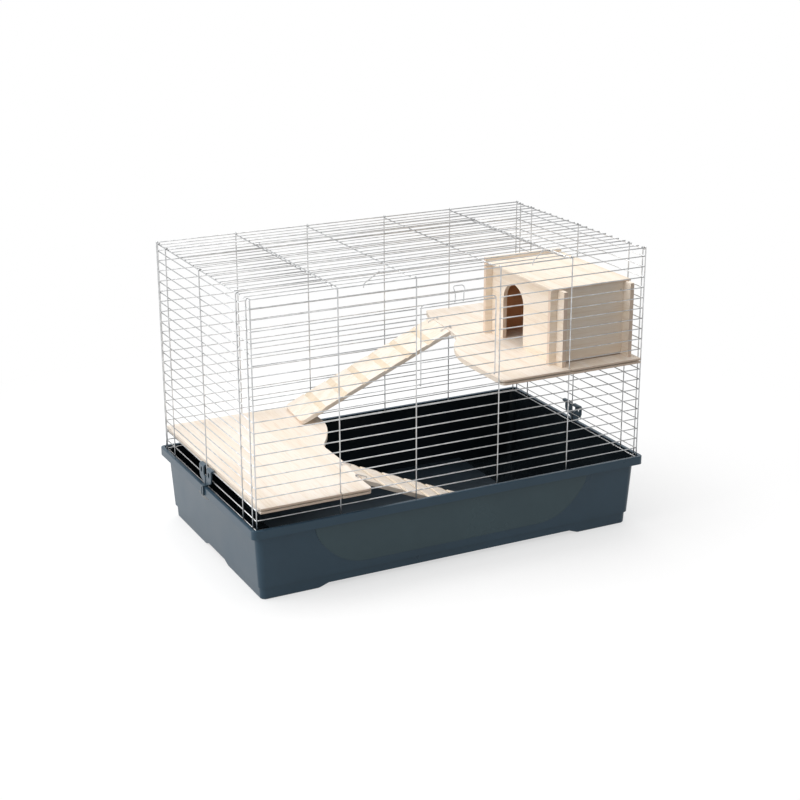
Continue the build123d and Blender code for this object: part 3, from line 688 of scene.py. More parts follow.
@dataclass(frozen=True)
class StudioPaper(Finish):
    """Matt white background paper, off a wide roll.

    It shows white, keeps a soft shadow and throws only some light back.
    """

    name: str = "studio_paper"
    face: str = "#fbfbfb"
    bounce: str = "#808080"
    shadow_share: float = 0.4
    near: float = 0.75
    far: float = 1.6

    def shader(self, tree: bpy.types.NodeTree) -> bpy.types.Node:
        """Lit paper near the object that turns to plain white away from it.

        Args:
            tree: The material's node tree.

        Returns:
            The paper's shader.
        """
        place = add_node(tree, "ShaderNodeTexCoord").outputs["Object"]
        reach = add_node(tree, "ShaderNodeVectorMath", {"operation": "LENGTH"}, i0=place).outputs["Value"]
        share = add_node(
            tree,
            "ShaderNodeMapRange",
            {"interpolation_type": "SMOOTHSTEP"},
            Value=reach,
            From_Min=self.near,
            From_Max=self.far,
            To_Min=self.shadow_share,
            To_Max=0.0,
        ).outputs["Result"]
        lit = add_node(tree, "ShaderNodeBsdfDiffuse", Color=linear(self.face)).outputs[0]
        white = add_node(tree, "ShaderNodeEmission", Color=linear(WHITE), Strength=1.0).outputs[0]
        shown = add_node(tree, "ShaderNodeMixShader", i0=share, i1=white, i2=lit).outputs[0]
        thrown = add_node(tree, "ShaderNodeBsdfDiffuse", Color=linear(self.bounce)).outputs[0]
        return add_node(tree, "ShaderNodeMixShader", i0=seen_rays(tree), i1=thrown, i2=shown)


# ---------------------------------------------------------------- wires
# A direction closer to vertical than this counts as upright.
STEEP = 0.9
# Share of a wire's radius that is rounded off its cut ends.
CUT_SHARE = 0.3
# Share of a step that its bend takes up, so that two bends in a row don't overlap.
BEND_SHARE = 0.95
# Height of a weld's bead against its width.
WELD_HEIGHT = 0.55
# Wires whose directions agree more than this don't cross.
PARALLEL = 0.5
# Wires whose middles are closer than this many times their radii touch.
TOUCH = 1.25
# How far past its cut end a wire may still be welded.
WELD_SLACK = 2 * MM


@dataclass(frozen=True)
class Tube:
    """One round wire: its middle line and its radius."""

    path: tuple[Vector, ...]
    radius: float


def arc_points(before: Vector, corner: Vector, after: Vector, bend: float, steps: int) -> list[Vector]:
    """Round one corner of a wire.

    Args:
        before: Point that the wire comes from.
        corner: The corner itself.
        after: Point that the wire goes to.
        bend: Radius of the bend.
        steps: Points on the bend.

    Returns:
        Points of the bend, ends included.
    """
    first = (before - corner).normalized()
    second = (after - corner).normalized()
    half = first.angle(second) / 2
    reach = bend / math.tan(half)
    centre = corner + (first + second).normalized() * (bend / math.sin(half))
    start = corner + first * reach - centre
    end = corner + second * reach - centre
    turn = start.angle(end)
    normal = start.cross(end).normalized()
    return [centre + Matrix.Rotation(turn * i / steps, 3, normal) @ start for i in range(steps + 1)]


def bent(points: Sequence[Vector], bends: float | Sequence[float], steps: int = 6) -> tuple[Vector, ...]:
    """Round all corners of a route.

    Args:
        points: The route's corner points.
        bends: One radius for all corners, or one for each.
        steps: Points on each bend.

    Returns:
        The route's smooth middle line.
    """
    corners = len(points) - 2
    radii = [bends] * corners if isinstance(bends, float) else list(bends)
    path = [points[0]]
    for i in range(corners):
        path += arc_points(points[i], points[i + 1], points[i + 2], radii[i], steps)
    path.append(points[-1])
    return tuple(path)


def add_tube(bm: bmesh.types.BMesh, tube: Tube, sides: int = 12) -> None:
    """Add one wire as a closed tube with slightly rounded cut ends.

    Args:
        bm: Mesh that takes the wire.
        tube: The wire.
        sides: Corners of its section.
    """
    path = tube.path
    tangents = [
        (path[min(i + 1, len(path) - 1)] - path[max(i - 1, 0)]).normalized() for i in range(len(path))
    ]
    up = Vector((0, 0, 1)) if abs(tangents[0].z) < STEEP else Vector((1, 0, 0))
    side = tangents[0].cross(up).normalized()
    cut = tube.radius * CUT_SHARE
    stations = [(path[0], tangents[0], tube.radius - cut)]
    stations.append((path[0] + tangents[0] * cut, tangents[0], tube.radius))
    stations += [(point, tangent, tube.radius) for point, tangent in zip(path[1:-1], tangents[1:-1])]
    stations.append((path[-1] - tangents[-1] * cut, tangents[-1], tube.radius))
    stations.append((path[-1], tangents[-1], tube.radius - cut))
    rings = []
    for centre, tangent, radius in stations:
        side = (side - tangent * side.dot(tangent)).normalized()
        other = tangent.cross(side)
        ring = []
        for i in range(sides):
            angle = 2 * math.pi * i / sides
            ring.append(bm.verts.new(centre + (side * math.cos(angle) + other * math.sin(angle)) * radius))
        rings.append(ring)
    for low, high in zip(rings, rings[1:]):
        for i in range(sides):
            bm.faces.new((low[i], low[(i + 1) % sides], high[(i + 1) % sides], high[i]))
    bm.faces.new(list(reversed(rings[0])))
    bm.faces.new(rings[-1])


def add_weld(bm: bmesh.types.BMesh, spot: Vector, across: Vector, size: float) -> None:
    """Add one resistance weld: a small flattened bead squeezed out between two crossing wires.

    Args:
        bm: Mesh that takes the bead.
        spot: Middle of the crossing.
        across: Direction from one wire to the other.
        size: Radius of the bead.
    """
    turn = Vector((0, 0, 1)).rotation_difference(across).to_matrix().to_4x4()
    squash = Matrix.Diagonal((size, size, size * WELD_HEIGHT, 1.0))
    place = Matrix.Translation(spot) @ turn @ squash
    bmesh.ops.create_icosphere(bm, subdivisions=1, radius=1.0, matrix=place)


def islands(node: str) -> list[tuple[Vector, Vector]]:
    """Boxes of the separate solids in a CAD node.

    Args:
        node: Name of the CAD node.

    Returns:
        Lowest and highest corner of each solid.
    """
    bm = bmesh.new()
    bm.from_mesh(bpy.data.objects[node].data)
    bmesh.ops.remove_doubles(bm, verts=bm.verts, dist=MERGE)
    seen: set[bmesh.types.BMVert] = set()
    boxes = []
    for seed in bm.verts:
        if seed in seen:
            continue
        seen.add(seed)
        stack = [seed]
        low, high = seed.co.copy(), seed.co.copy()
        while stack:
            vert = stack.pop()
            low = Vector(map(min, low, vert.co))
            high = Vector(map(max, high, vert.co))
            for edge in vert.link_edges:
                other = edge.other_vert(vert)
                if other not in seen:
                    seen.add(other)
                    stack.append(other)
        boxes.append((low, high))
    bm.free()
    return boxes


def straight_tube(low: Vector, high: Vector) -> Tube:
    """The straight wire that fills a box.

    Args:
        low: Lowest corner.
        high: Highest corner.

    Returns:
        The wire along the box's longest side.
    """
    size = high - low
    axis = max(range(3), key=lambda i: size[i])
    middle = (low + high) / 2
    start, end = middle.copy(), middle.copy()
    start[axis], end[axis] = low[axis], high[axis]
    others = [size[i] for i in range(3) if i != axis]
    return Tube((start, end), max(others) / 2)


@dataclass
class WirePanel:
    """One welded panel: its straight wires, its uprights and the welds where they cross."""

    node: str
    body: str = "cage"
    out: Vector = field(default_factory=lambda: Vector((0, 0, 0)))
    post_radius: float = 1.4 * MM
    hook_step: float = 2.9 * MM
    weld_radius: float = 1.55 * MM
    slender: float = 3.2 * MM
    smooth_angle: float = 50.0

    def wires(self) -> list[Tube]:
        """The panel's wires, read from the boxes of its solids.

        Returns:
            Straight wires as they are, and each upright with its hook over the rail.
        """
        tubes = []
        for low, high in islands(self.node):
            size = sorted(high - low)
            if size[1] < self.slender:
                tubes.append(straight_tube(low, high))
            else:
                tubes.append(self.upright(low, high))
        return tubes

    def upright(self, low: Vector, high: Vector) -> Tube:
        """One upright that hooks over the rail.

        Args:
            low: Lowest corner of its solid.
            high: Highest corner of its solid.

        Returns:
            The upright's wire.
        """
        middle = (low + high) / 2
        top = high.z - self.post_radius
        outer = middle + self.out * self.hook_step
        inner = middle - self.out * self.hook_step
        route = [
            Vector((outer.x, outer.y, low.z)),
            Vector((outer.x, outer.y, top)),
            Vector((inner.x, inner.y, top)),
            Vector((inner.x, inner.y, top - self.hook_step)),
        ]
        return Tube(bent(route, self.hook_step * BEND_SHARE), self.post_radius)

    def welds(self, tubes: list[Tube]) -> list[tuple[Vector, Vector]]:
        """Crossings of the panel's wires.

        Args:
            tubes: The panel's wires.

        Returns:
            Middle of each crossing and the direction from one wire to the other.
        """
        spots = []
        for i, first in enumerate(tubes):
            for second in tubes[i + 1 :]:
                found = crossing(first, second)
                if found:
                    spots.append(found)
        return spots

    def build(self, material: bpy.types.Material) -> bpy.types.Object:
        """Make the panel as one piece.

        Args:
            material: Finish of its wires.

        Returns:
            The panel.
        """
        bm = bmesh.new()
        tubes = self.wires()
        for tube in tubes:
            add_tube(bm, tube)
        for spot, across in self.welds(tubes):
            add_weld(bm, spot, across, self.weld_radius)
        obj = new_object(f"{self.node}_wires", bm, self.smooth_angle)
        return mount(obj, self.body, Slot.MESH, material, self.node)


def crossing(first: Tube, second: Tube) -> tuple[Vector, Vector] | None:
    """Where the long straight runs of two wires cross and touch.

    Args:
        first: One wire.
        second: The other wire.

    Returns:
        Middle of the crossing and the direction between the wires, or None.
    """
    a, b = longest_run(first), longest_run(second)
    da, db = (a[1] - a[0]).normalized(), (b[1] - b[0]).normalized()
    if abs(da.dot(db)) > PARALLEL:
        return None
    normal = da.cross(db).normalized()
    gap = (b[0] - a[0]).dot(normal)
    if abs(gap) > (first.radius + second.radius) * TOUCH:
        return None
    offset = b[0] - a[0] - normal * gap
    s = offset.cross(db).dot(normal) / da.cross(db).dot(normal)
    t = offset.cross(da).dot(normal) / da.cross(db).dot(normal)
    inside_a = -WELD_SLACK < s < (a[1] - a[0]).length + WELD_SLACK
    inside_b = -WELD_SLACK < t < (b[1] - b[0]).length + WELD_SLACK
    if not (inside_a and inside_b):
        return None
    sign = 1.0 if gap > 0 else -1.0
    return a[0] + da * s + normal * sign * first.radius, normal * sign


def longest_run(tube: Tube) -> tuple[Vector, Vector]:
    """The longest straight run of a wire.

    Args:
        tube: The wire.

    Returns:
        The run's two ends.
    """
    return max(zip(tube.path, tube.path[1:]), key=lambda run: (run[1] - run[0]).length)


@dataclass
class WireDoor(WirePanel):
    """A wire door: one bent frame whose two ends curl round the hinge wire, and the wires across it."""

    wire: float = 1.4 * MM
    hinge: float = 2.9 * MM
    corner: float = 8.0 * MM

    def frame(
        self, left: float, right: float, curl: Sequence[tuple[float, float]], far: tuple[float, float]
    ) -> Tube:
        """Bend the frame, from one curl round the door's far side to the other.

        Args:
            left: X of the door's left side.
            right: X of its right side.
            curl: Y and Z of a curl's points, from its cut end to the door.
            far: Y and Z of the side away from the hinge.

        Returns:
            The frame's wire.
        """
        route = [Vector((left, y, z)) for y, z in curl]
        route += [Vector((left, *far)), Vector((right, *far))]
        route += [Vector((right, y, z)) for y, z in reversed(curl)]
        eye = self.hinge * BEND_SHARE
        return Tube(bent(route, [eye, eye, self.corner, self.corner, eye, eye]), self.wire)


@dataclass
class FrontDoor(WireDoor):
    """Front door, which swings down and out about its foot."""

    node: str = "front_door"
    body: str = "front_door"
    wire: float = 1.25 * MM
    hinge: float = 2.6 * MM

    def upright(self, low: Vector, high: Vector) -> Tube:
        """The door's frame, which curls round the hinge wire at the foot.

        Args:
            low: Lowest corner of its solid.
            high: Highest corner of its solid.

        Returns:
            The frame's wire.
        """
        left, right = low.x + self.wire, high.x - self.wire
        face, back = low.y + self.wire, high.y - self.wire
        foot, top = low.z + self.wire, high.z - self.wire
        curl = [(back, foot + self.hinge), (back, foot), (face, foot)]
        return self.frame(left, right, curl, (face, top))


@dataclass
class TopDoor(WireDoor):
    """Lift-up roof door, which swings up and back about its rear edge."""

    node: str = "top_door"
    body: str = "top_door"

    def upright(self, low: Vector, high: Vector) -> Tube:
        """The door's frame, which curls over the hinge wire at the back.

        Args:
            low: Lowest corner of its solid.
            high: Highest corner of its solid.

        Returns:
            The frame's wire.
        """
        left, right = low.x + self.wire, high.x - self.wire
        front, back = low.y + self.wire, high.y - self.wire
        level, over = low.z + self.wire, high.z - self.wire
        curl = [(back - self.hinge, over), (back, over), (back, level)]
        return self.frame(left, right, curl, (front, level))


@dataclass
class WireCage:
    """The welded cage: four walls whose uprights hook over the top rail, the roof and two doors."""

    front: Vector = field(default_factory=lambda: Vector((0, -1, 0)))
    right: Vector = field(default_factory=lambda: Vector((1, 0, 0)))

    def build(self, wire: bpy.types.Material) -> None:
        """Make every panel and both doors.

        Args:
            wire: Finish of all the wire.
        """
        WirePanel("front_panel", out=self.front).build(wire)
        WirePanel("back_panel", out=-self.front).build(wire)
        WirePanel("left_panel", out=-self.right).build(wire)
        WirePanel("right_panel", out=self.right).build(wire)
        WirePanel("top_panel").build(wire)
        FrontDoor().build(wire)
        TopDoor().build(wire)

    def dress_bent_parts(self, frame: dict, wire: bpy.types.Material) -> None:
        """Give the hooks, eyes, latches and nails, which show as they are in the frame, the wire's finish.

        Args:
            frame: The loaded frame.
            wire: Finish of all the wire.
        """
        for entry in frame["record"]["subparts"]:
            if Slot(entry["material_slot"]) in (Slot.HOOK, Slot.MESH):
                node = frame["nodes"][entry["node"]]
                node.data.materials.clear()
                node.data.materials.append(wire)


# ---------------------------------------------------------------- boards, tray and clips
# A rule that picks edges of a mesh.
Rule = Callable[[bmesh.types.BMEdge], bool]

# Faces that meet within this many degrees of flat were one face before the shape was meshed.
FLAT_ANGLE = 0.4
# Index of a board's second material, for its faces whose darker colour is painted shade.
PAINTED_SHADE_INDEX = 1


def clean_copy(node: str) -> bmesh.types.BMesh:
    """Copy a CAD node's shape with its flat faces whole again.

    Args:
        node: CAD node to copy.

    Returns:
        The mesh, ready to be worked on.
    """
    bm = bmesh.new()
    bm.from_mesh(bpy.data.objects[node].data)
    bmesh.ops.remove_doubles(bm, verts=bm.verts, dist=2 * MERGE)
    bmesh.ops.dissolve_limit(bm, angle_limit=math.radians(FLAT_ANGLE), verts=bm.verts, edges=bm.edges)
    bm.normal_update()
    return bm


def round_edges(
    bm: bmesh.types.BMesh, width: float, chosen: Rule, segments: int = 2, sharper: float = 35.0
) -> None:
    """Round the sharp edges that a rule picks.

    Args:
        bm: Mesh to change.
        width: How far the rounding reaches from the edge.
        chosen: Rule that picks the edges.
        segments: Steps across the rounding.
        sharper: Only edges sharper than this many degrees are rounded.
    """
    limit = math.radians(sharper)
    picked = [e for e in bm.edges if len(e.link_faces) == 2 and e.calc_face_angle(0.0) > limit and chosen(e)]
    bmesh.ops.bevel(
        bm, geom=picked, offset=width, segments=segments, profile=0.5, affect="EDGES", clamp_overlap=True
    )
    bm.normal_update()


def flat_normals(obj: bpy.types.Object) -> None:
    """Let big flat faces keep straight shading beside their rounded edges.

    Args:
        obj: Piece whose normals are weighted by face area.
    """
    weigh = obj.modifiers.new("weighted", "WEIGHTED_NORMAL")
    weigh.keep_sharp = True
    graph = bpy.context.evaluated_depsgraph_get()
    shaped = bpy.data.meshes.new_from_object(obj.evaluated_get(graph))
    obj.modifiers.clear()
    obj.data = shaped


@dataclass
class Room:
    """The inside of the house, whose faces take a darker, warmer finish that is painted shade for the dim
    room.
    """

    low: Vector
    high: Vector
    slack: float = 0.5 * MM
    # Darker, warmer pine for the room's faces: painted shade of the dim room.
    finish: PaintedShadePine = PaintedShadePine("#d8a47c", "#cf9870")

    def mark(self, bm: bmesh.types.BMesh) -> None:
        """Give the faces that look into the room the second finish of their board, whose colour is painted
        shade.

        Args:
            bm: Mesh of one board; its faces are cut along the room's sides first.
        """
        for axis in range(3):
            for side in (self.low, self.high):
                normal = Vector([float(axis == k) for k in range(3)])
                parts = list(bm.verts) + list(bm.edges) + list(bm.faces)
                bmesh.ops.bisect_plane(bm, geom=parts, dist=MERGE, plane_co=side, plane_no=normal)
        bm.normal_update()
        middle = (self.low + self.high) / 2
        for face in bm.faces:
            centre = face.calc_center_median()
            inside = all(self.low[k] - self.slack < centre[k] < self.high[k] + self.slack for k in range(3))
            if inside and (middle - centre).dot(face.normal) > 0:
                face.material_index = PAINTED_SHADE_INDEX


@dataclass
class Notches:
    """The grip notches routed across a ramp: rough as the cutter left them, darker as painted shade.

    Their faces lean between the shallow and the steep angle away from the ramp's own top face.
    """

    shallow: float = math.radians(4)
    steep: float = math.radians(75)
    # Darker pine for the notches: painted shade in their hollows.
    finish: PaintedShadePine = PaintedShadePine("#e5d6c1", "#dfcfb8")

    def mark(self, bm: bmesh.types.BMesh) -> None:
        """Give the notches' faces the second finish of their ramp, with its painted shade.

        Args:
            bm: Mesh of the ramp.
        """
        top = max((face for face in bm.faces if face.normal.z > 0.5), key=lambda face: face.calc_area())
        for face in bm.faces:
            if self.shallow < face.normal.angle(top.normal) < self.steep:
                face.material_index = PAINTED_SHADE_INDEX


@dataclass
class Board:
    """One wooden board: its CAD shape with sanded edges, and its own cut of timber.

    Edges shorter than `shortest` times the sanded width stay as they are. A board with a `big_edge` is
    also rounded over by that much along its top and bottom outline.
    """

    node: str
    slot: Slot
    grain: Grain
    seed: float
    body: str = "cage"
    edge: float = 0.9 * MM
    big_edge: float = 0.0
    shortest: float = 3.0
    pale: str = "#f0e6db"
    band: str = "#ebdecf"
    painted_shade_faces: Room | Notches | None = None

    def outer(self, edge: bmesh.types.BMEdge, low: Vector, high: Vector) -> bool:
        """Whether an edge lies along the top or bottom outline of a level board.

        Args:
            edge: Edge to look at.
            low: Lowest corner of the board.
            high: Highest corner of the board.

        Returns:
            True for an edge that the sander rounds over.
        """
        heights = [vert.co.z for vert in edge.verts]
        level = abs(heights[0] - heights[1]) < NEAR
        at_face = abs(heights[0] - low.z) < NEAR or abs(heights[0] - high.z) < NEAR
        return level and at_face and edge.calc_length() > self.big_edge

    def build(self) -> bpy.types.Object:
        """Make the board.

        Returns:
            The board.
        """
        bm = clean_copy(self.node)
        if self.big_edge:
            low, high = (Vector(corner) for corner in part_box(self.node))
            round_edges(bm, self.big_edge, lambda edge: self.outer(edge, low, high), segments=4)
        if self.painted_shade_faces:
            self.painted_shade_faces.mark(bm)
        round_edges(bm, self.edge, lambda edge: edge.calc_length() > self.shortest * self.edge)
        obj = new_object(f"{self.node}_board", bm)
        flat_normals(obj)
        timber = SandedPine(
            name=f"sanded_pine_{self.node}", grain=self.grain, seed=self.seed, pale=self.pale, band=self.band
        )
        mount(obj, self.body, self.slot, timber.build(), self.node)
        # On house boards and ramps, a second material whose darker colour is painted shade.
        if self.painted_shade_faces:
            obj.data.materials.append(self.painted_shade_faces.finish.build(f"unsanded_pine_{self.node}"))
        return obj


@dataclass
class Woodwork:
    """All the boards of the cage: two shelves, two ramps and the house."""

    shelf_edge: float = 3.4 * MM
    ramp_edge: float = 0.6 * MM
    house_pale: str = "#f4e8da"
    house_band: str = "#f0e2d0"

    def room(self) -> Room:
        """The space between the house's boards.

        Returns:
            The inside of the house.
        """
        left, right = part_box("house_left_wall"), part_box("house_right_wall")
        front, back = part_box("house_front_board"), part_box("house_back_board")
        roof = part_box("house_roof")
        low = Vector((left[1][0], front[1][1], left[0][2]))
        high = Vector((right[0][0], back[0][1], roof[0][2]))
        return Room(low, high)

    def build(self) -> None:
        """Make every board, each with its grain along its own length."""
        for node, seed in (("lower_platform", 1.3), ("upper_platform", 4.1)):
            Board(node, Slot.SHELF, Grain.ALONG_Y, seed, big_edge=self.shelf_edge).build()
        for node, seed in (("upper_ramp", 7.7), ("lower_ramp", 9.2)):
            ramp = Board(
                node, Slot.RAMP, Grain.ALONG_X, seed, body=node, edge=self.ramp_edge, painted_shade_faces=Notches()
            )
            ramp.build()
        room = self.room()
        house = (
            ("house_left_wall", Grain.ALONG_Y, 2.2),
            ("house_right_wall", Grain.ALONG_Y, 3.4),
            ("house_front_board", Grain.ALONG_X, 5.6),
            ("house_back_board", Grain.ALONG_X, 6.8),
            ("house_roof", Grain.ALONG_Y, 8.1),
        )
        for node, grain, seed in house:
            board = Board(
                node, Slot.HOUSE, grain, seed, pale=self.house_pale, band=self.house_band, painted_shade_faces=room
            )
            board.build()


@dataclass
class Tray:
    """Deep tray: its moulded shell with softened rim and the smoother raised panel on front and back."""

    node: str = "tray"
    rim_edge: float = 1.6 * MM
    fine_edge: float = 0.5 * MM
    shortest_edge: float = 2 * MM
    smooth_angle: float = 30.0
    panel_area: float = 0.02
    panel_reach: float = 0.36
    panel_facing: float = 0.95
    land: float = 8.5 * MM
    ledge_facing: float = 0.3
    floor_facing: float = 0.9
    floor_slack: float = 1 * MM
    mark_radius: float = 7 * MM
    mark_rise: float = 0.9 * MM

    def skin(self, face: bmesh.types.BMFace, high: Vector, floor_z: float) -> Skin:
        """Tell which finish a face of the shell takes.

        Args:
            face: Face to look at.
            high: Highest corner of the tray.
            floor_z: Height of the inner floor.

        Returns:
            The raised panel with its painted light, the floor and the inside with their painted shade, or
            the textured outside.
        """
        reach = max(abs(vert.co.x) for vert in face.verts)
        upright = abs(face.normal.y) > self.panel_facing
        if upright and face.calc_area() > self.panel_area and reach < self.panel_reach:
            return Skin.PANEL
        far_y = max(abs(vert.co.y) for vert in face.verts)
        within = reach < high.x - self.land and far_y < high.y - self.land
        centre = face.calc_center_median()
        inward = face.normal.z > self.ledge_facing or face.normal.dot(Vector((-centre.x, -centre.y, 0))) > 0
        if not (within and inward):
            return Skin.OUTSIDE
        level = face.normal.z > self.floor_facing and abs(centre.z - floor_z) < self.floor_slack
        return Skin.FLOOR if level else Skin.INSIDE

    def gate_mark(self, floor_z: float, finish: bpy.types.Material) -> bpy.types.Object:
        """Make the low round mark that the moulding's sprue leaves in the middle of the floor.

        Args:
            floor_z: Height of the tray's inner floor.
            finish: The floor's finish.

        Returns:
            The mark.
        """
        bm = bmesh.new()
        # Shares of the mark's radius and rise, from its middle out to just under the floor.
        profile = ((0.0, 0.25), (0.3, 0.2), (0.45, 1.0), (0.7, 0.9), (1.0, -0.3))
        rings = [
            bm.verts.new((share * self.mark_radius, 0, floor_z + rise * self.mark_rise))
            for share, rise in profile
        ]
        edges = [bm.edges.new(pair) for pair in zip(rings, rings[1:])]
        bmesh.ops.spin(
            bm, geom=rings + edges, cent=(0, 0, 0), axis=(0, 0, 1), angle=math.tau, steps=32, use_merge=True
        )
        bmesh.ops.remove_doubles(bm, verts=bm.verts, dist=MERGE)
        bmesh.ops.holes_fill(bm, edges=[edge for edge in bm.edges if edge.is_boundary])
        bmesh.ops.recalc_face_normals(bm, faces=bm.faces)
        return mount(new_object("tray_gate_mark", bm), "tray", Slot.TRAY, finish)

    def build(self) -> bpy.types.Object:
        """Make the tray.

        Returns:
            The tray.
        """
        bm = clean_copy(self.node)
        high = Vector(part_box(self.node)[1])
        rim_z = high.z - NEAR
        largest = max(bm.faces, key=lambda face: face.calc_area() * face.normal.z)
        floor_z = largest.calc_center_median().z
        for face in bm.faces:
            face.material_index = self.skin(face, high, floor_z).value
        round_edges(bm, self.rim_edge, lambda edge: min(v.co.z for v in edge.verts) > rim_z, segments=3)
        round_edges(
            bm,
            self.fine_edge,
            lambda edge: edge.calc_length() > self.shortest_edge,
            sharper=self.smooth_angle,
        )
        obj = new_object("tray_shell", bm, self.smooth_angle)
        flat_normals(obj)
        mount(obj, "tray", Slot.TRAY, MouldedPolypropylene().build(), self.node)
        # The panel's paler finish is painted light; the inside's and the floor's darker finishes are painted
        # shade.
        # In the order of Skin, after the outside that mount gave it.
        painted_shade_inside = PaintedShadeInsidePolypropylene().build()
        floor = FloorPolypropylene().build()
        for finish in (PanelPolypropylene().build(), painted_shade_inside, floor):
            obj.data.materials.append(finish)
        self.gate_mark(floor_z, floor)
        # The rim pockets take the inside's dark finish, as painted shade under the clips' feet.
        for end in End:
            RimPocket(end).build(painted_shade_inside)
        return obj


@dataclass
class RimPocket:
    """Deeper, rounded stretch of the tray's skirt below the foot of a clip, dark with painted shade."""

    end: End
    half_length: float = 36 * MM
    depth: float = 9 * MM
    thickness: float = 2.4 * MM
    gap: float = 0.3 * MM
    lap: float = 3 * MM
    steps: int = 24
    edge: float = 0.8 * MM

    def build(self, plastic: bpy.types.Material) -> bpy.types.Object:
        """Make the pocket on one end of the tray.

        Args:
            plastic: The tray's dark inside finish, which paints the pocket with shade.

        Returns:
            The pocket, under the rim's skirt.
        """
        side = self.end.name.lower()
        skirt_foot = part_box(f"clip_{side}")[0][2]
        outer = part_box("tray")[1][0] - self.gap
        inner_x = self.end.value * (outer - self.thickness)
        radius = (self.half_length**2 + self.depth**2) / (2 * self.depth)
        reach = math.asin(self.half_length / radius)
        bm = bmesh.new()
        rim = []
        for step in range(self.steps + 1):
            angle = reach * (2 * step / self.steps - 1)
            y = radius * math.sin(angle)
            z = skirt_foot - (radius * math.cos(angle) - (radius - self.depth))
            rim.append(bm.verts.new((inner_x, y, z)))
        for y in (self.half_length, -self.half_length):
            rim.append(bm.verts.new((inner_x, y, skirt_foot + self.lap)))
        face = bm.faces.new(rim)
        moved = bmesh.ops.extrude_face_region(bm, geom=[face])
        push = Vector((self.end.value * self.thickness, 0, 0))
        outline = [part for part in moved["geom"] if isinstance(part, bmesh.types.BMVert)]
        bmesh.ops.translate(bm, vec=push, verts=outline)
        bmesh.ops.recalc_face_normals(bm, faces=bm.faces)
        round_edges(bm, self.edge, lambda edge: True, segments=3)
        return mount(new_object(f"rim_pocket_{side}", bm), "tray", Slot.TRAY, plastic)


@dataclass
class TrayClip:
    """One clip between the cage and the tray's rim: moulded plastic with softened edges."""

    node: str
    edge: float = 0.6 * MM
    shortest_edge: float = 1.5 * MM

    def build(self, plastic: bpy.types.Material) -> bpy.types.Object:
        """Make the clip.

        Args:
            plastic: Finish of both clips.

        Returns:
            The clip.
        """
        bm = clean_copy(self.node)
        round_edges(bm, self.edge, lambda edge: edge.calc_length() > self.shortest_edge)
        obj = new_object(f"{self.node}_moulding", bm)
        flat_normals(obj)
        return mount(obj, self.node, Slot.CLIP, plastic, self.node)


# ---------------------------------------------------------------- stage
@dataclass(frozen=True)
class Softbox:
    """One rectangular soft light that faces the object."""

    name: str
    offset: tuple[float, float, float]
    size: tuple[float, float]
    watts: float

    def build(self, centre: Vector) -> None:
        """Hang the light.

        Args:
            centre: Middle of the object.
        """
        data = bpy.data.lights.new(self.name, "AREA")
        data.shape = "RECTANGLE"
        data.size, data.size_y = self.size
        data.energy = self.watts
        obj = bpy.data.objects.new(self.name, data)
        obj.location = centre + Vector(self.offset)
        obj.rotation_mode = "QUATERNION"
        obj.rotation_quaternion = (centre - obj.location).to_track_quat("-Z", "Y")
        bpy.context.scene.collection.objects.link(obj)


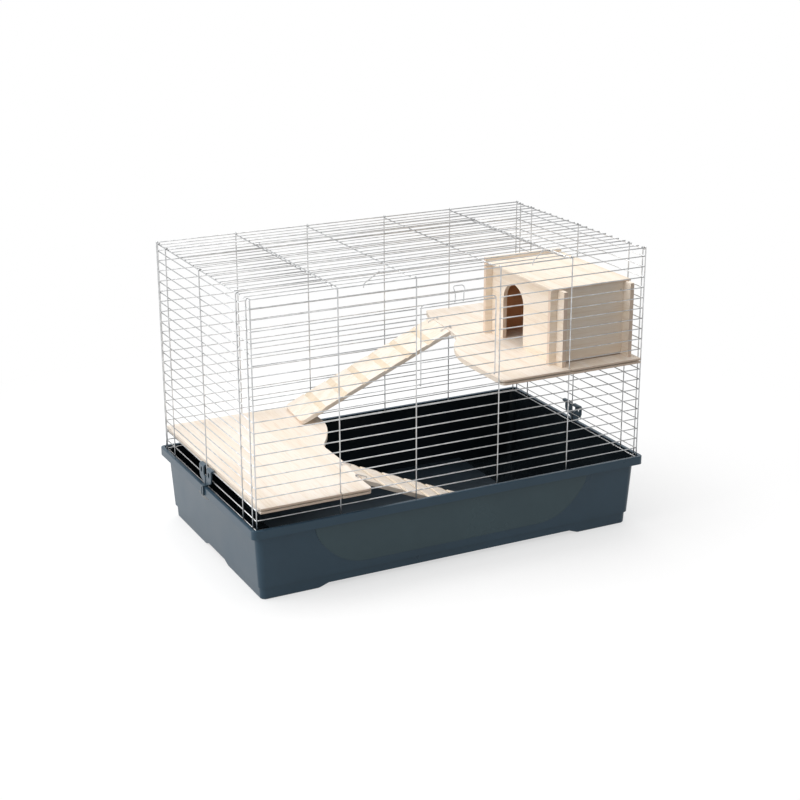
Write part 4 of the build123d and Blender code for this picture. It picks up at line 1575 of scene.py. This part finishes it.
@dataclass
class Studio:
    """Camera, soft lights from the left and above, and white paper."""

    camera_place: Vector = field(default_factory=lambda: Vector((-1.6747, -3.2948, 1.5649)))
    yaw: float = math.radians(26.967)
    pitch: float = math.radians(18.831)
    roll: float = math.radians(-0.116)
    lens_mm: float = 74.007
    sensor_mm: float = 36.0
    sight: float = 50.0
    floor_reach: float = 12.0
    key: Softbox = Softbox("key_softbox", (-2.8, 0.2, 1.7), (2.0, 2.0), 43.0)
    top: Softbox = Softbox("top_softbox", (-0.2, 0.5, 2.8), (2.8, 2.0), 39.0)
    backdrop: Vector = field(default_factory=lambda: Vector((-0.45, 0.85, 0.25)).normalized())
    backdrop_level: float = 1.0
    room_level: float = 0.42
    backdrop_ends: float = 0.5
    room_ends: float = -0.7

    def camera(self) -> None:
        """Put the camera in place, level but for a small roll."""
        data = bpy.data.cameras.new("studio_camera")
        data.sensor_width = self.sensor_mm
        data.lens = self.lens_mm
        data.clip_end = self.sight
        obj = bpy.data.objects.new("studio_camera", data)
        bpy.context.scene.collection.objects.link(obj)
        level = math.cos(self.pitch)
        forward = Vector((math.sin(self.yaw) * level, math.cos(self.yaw) * level, -math.sin(self.pitch)))
        right = Vector((math.cos(self.yaw), -math.sin(self.yaw), 0))
        up = right.cross(forward)
        rolled_right = right * math.cos(self.roll) + up * math.sin(self.roll)
        rolled_up = up * math.cos(self.roll) - right * math.sin(self.roll)
        turn = Matrix((rolled_right, rolled_up, -forward)).transposed().to_4x4()
        obj.matrix_world = Matrix.Translation(self.camera_place) @ turn
        bpy.context.scene.camera = obj

    def floor(self, low: Vector) -> None:
        """Lay the paper under the feet.

        Args:
            low: Lowest corner of the object.
        """
        bm = bmesh.new()
        bmesh.ops.create_grid(bm, x_segments=2, y_segments=2, size=self.floor_reach)
        bmesh.ops.translate(bm, verts=bm.verts, vec=Vector((0, 0, low.z)))
        floor = new_object("studio_floor", bm)
        floor.data.materials.append(StudioPaper().build())
        floor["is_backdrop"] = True

    def surround(self) -> None:
        """Set a white backdrop behind the object and a dim room in front of it; both look white."""
        world = bpy.data.worlds.new("studio_surround")
        tree = blank_tree(world)
        facing = add_node(tree, "ShaderNodeTexCoord").outputs["Generated"]
        towards = add_node(
            tree, "ShaderNodeVectorMath", {"operation": "DOT_PRODUCT"}, i0=facing, i1=self.backdrop
        ).outputs["Value"]
        level = add_node(
            tree,
            "ShaderNodeMapRange",
            {"interpolation_type": "SMOOTHSTEP"},
            Value=towards,
            From_Min=self.room_ends,
            From_Max=self.backdrop_ends,
            To_Min=self.room_level,
            To_Max=self.backdrop_level,
        ).outputs["Result"]
        lamp = add_node(tree, "ShaderNodeBackground", Color=linear(WHITE), Strength=level).outputs[0]
        plain = add_node(tree, "ShaderNodeBackground", Color=linear(WHITE), Strength=1.0).outputs[0]
        looked_at = add_node(tree, "ShaderNodeLightPath").outputs["Is Camera Ray"]
        mix = add_node(tree, "ShaderNodeMixShader", i0=looked_at, i1=lamp, i2=plain)
        add_node(tree, "ShaderNodeOutputWorld", Surface=mix.outputs[0])
        bpy.context.scene.world = world

    def build(self, low: Vector, high: Vector) -> None:
        """Set the whole stage.

        Args:
            low: Lowest corner of the object.
            high: Highest corner of the object.
        """
        self.camera()
        self.floor(low)
        for light in (self.key, self.top):
            light.build((low + high) / 2)
        self.surround()
        bpy.context.scene.view_settings.view_transform = "Standard"


def main() -> None:
    """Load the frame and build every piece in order."""
    logging.basicConfig(level=logging.INFO, format="%(name)s: %(message)s")
    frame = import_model()
    cad_low, cad_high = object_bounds()
    Studio().build(cad_low, cad_high)

    wire = ZincPlatedWire().build()
    cage = WireCage()
    cage.build(wire)
    Woodwork().build()
    Tray().build()
    # The clips' paler plastic is painted light.
    clip = ClipPolypropylene().build()
    for node in ("clip_left", "clip_right"):
        TrayClip(node).build(clip)
    cage.dress_bent_parts(frame, wire)


if __name__ == "__main__":
    main()
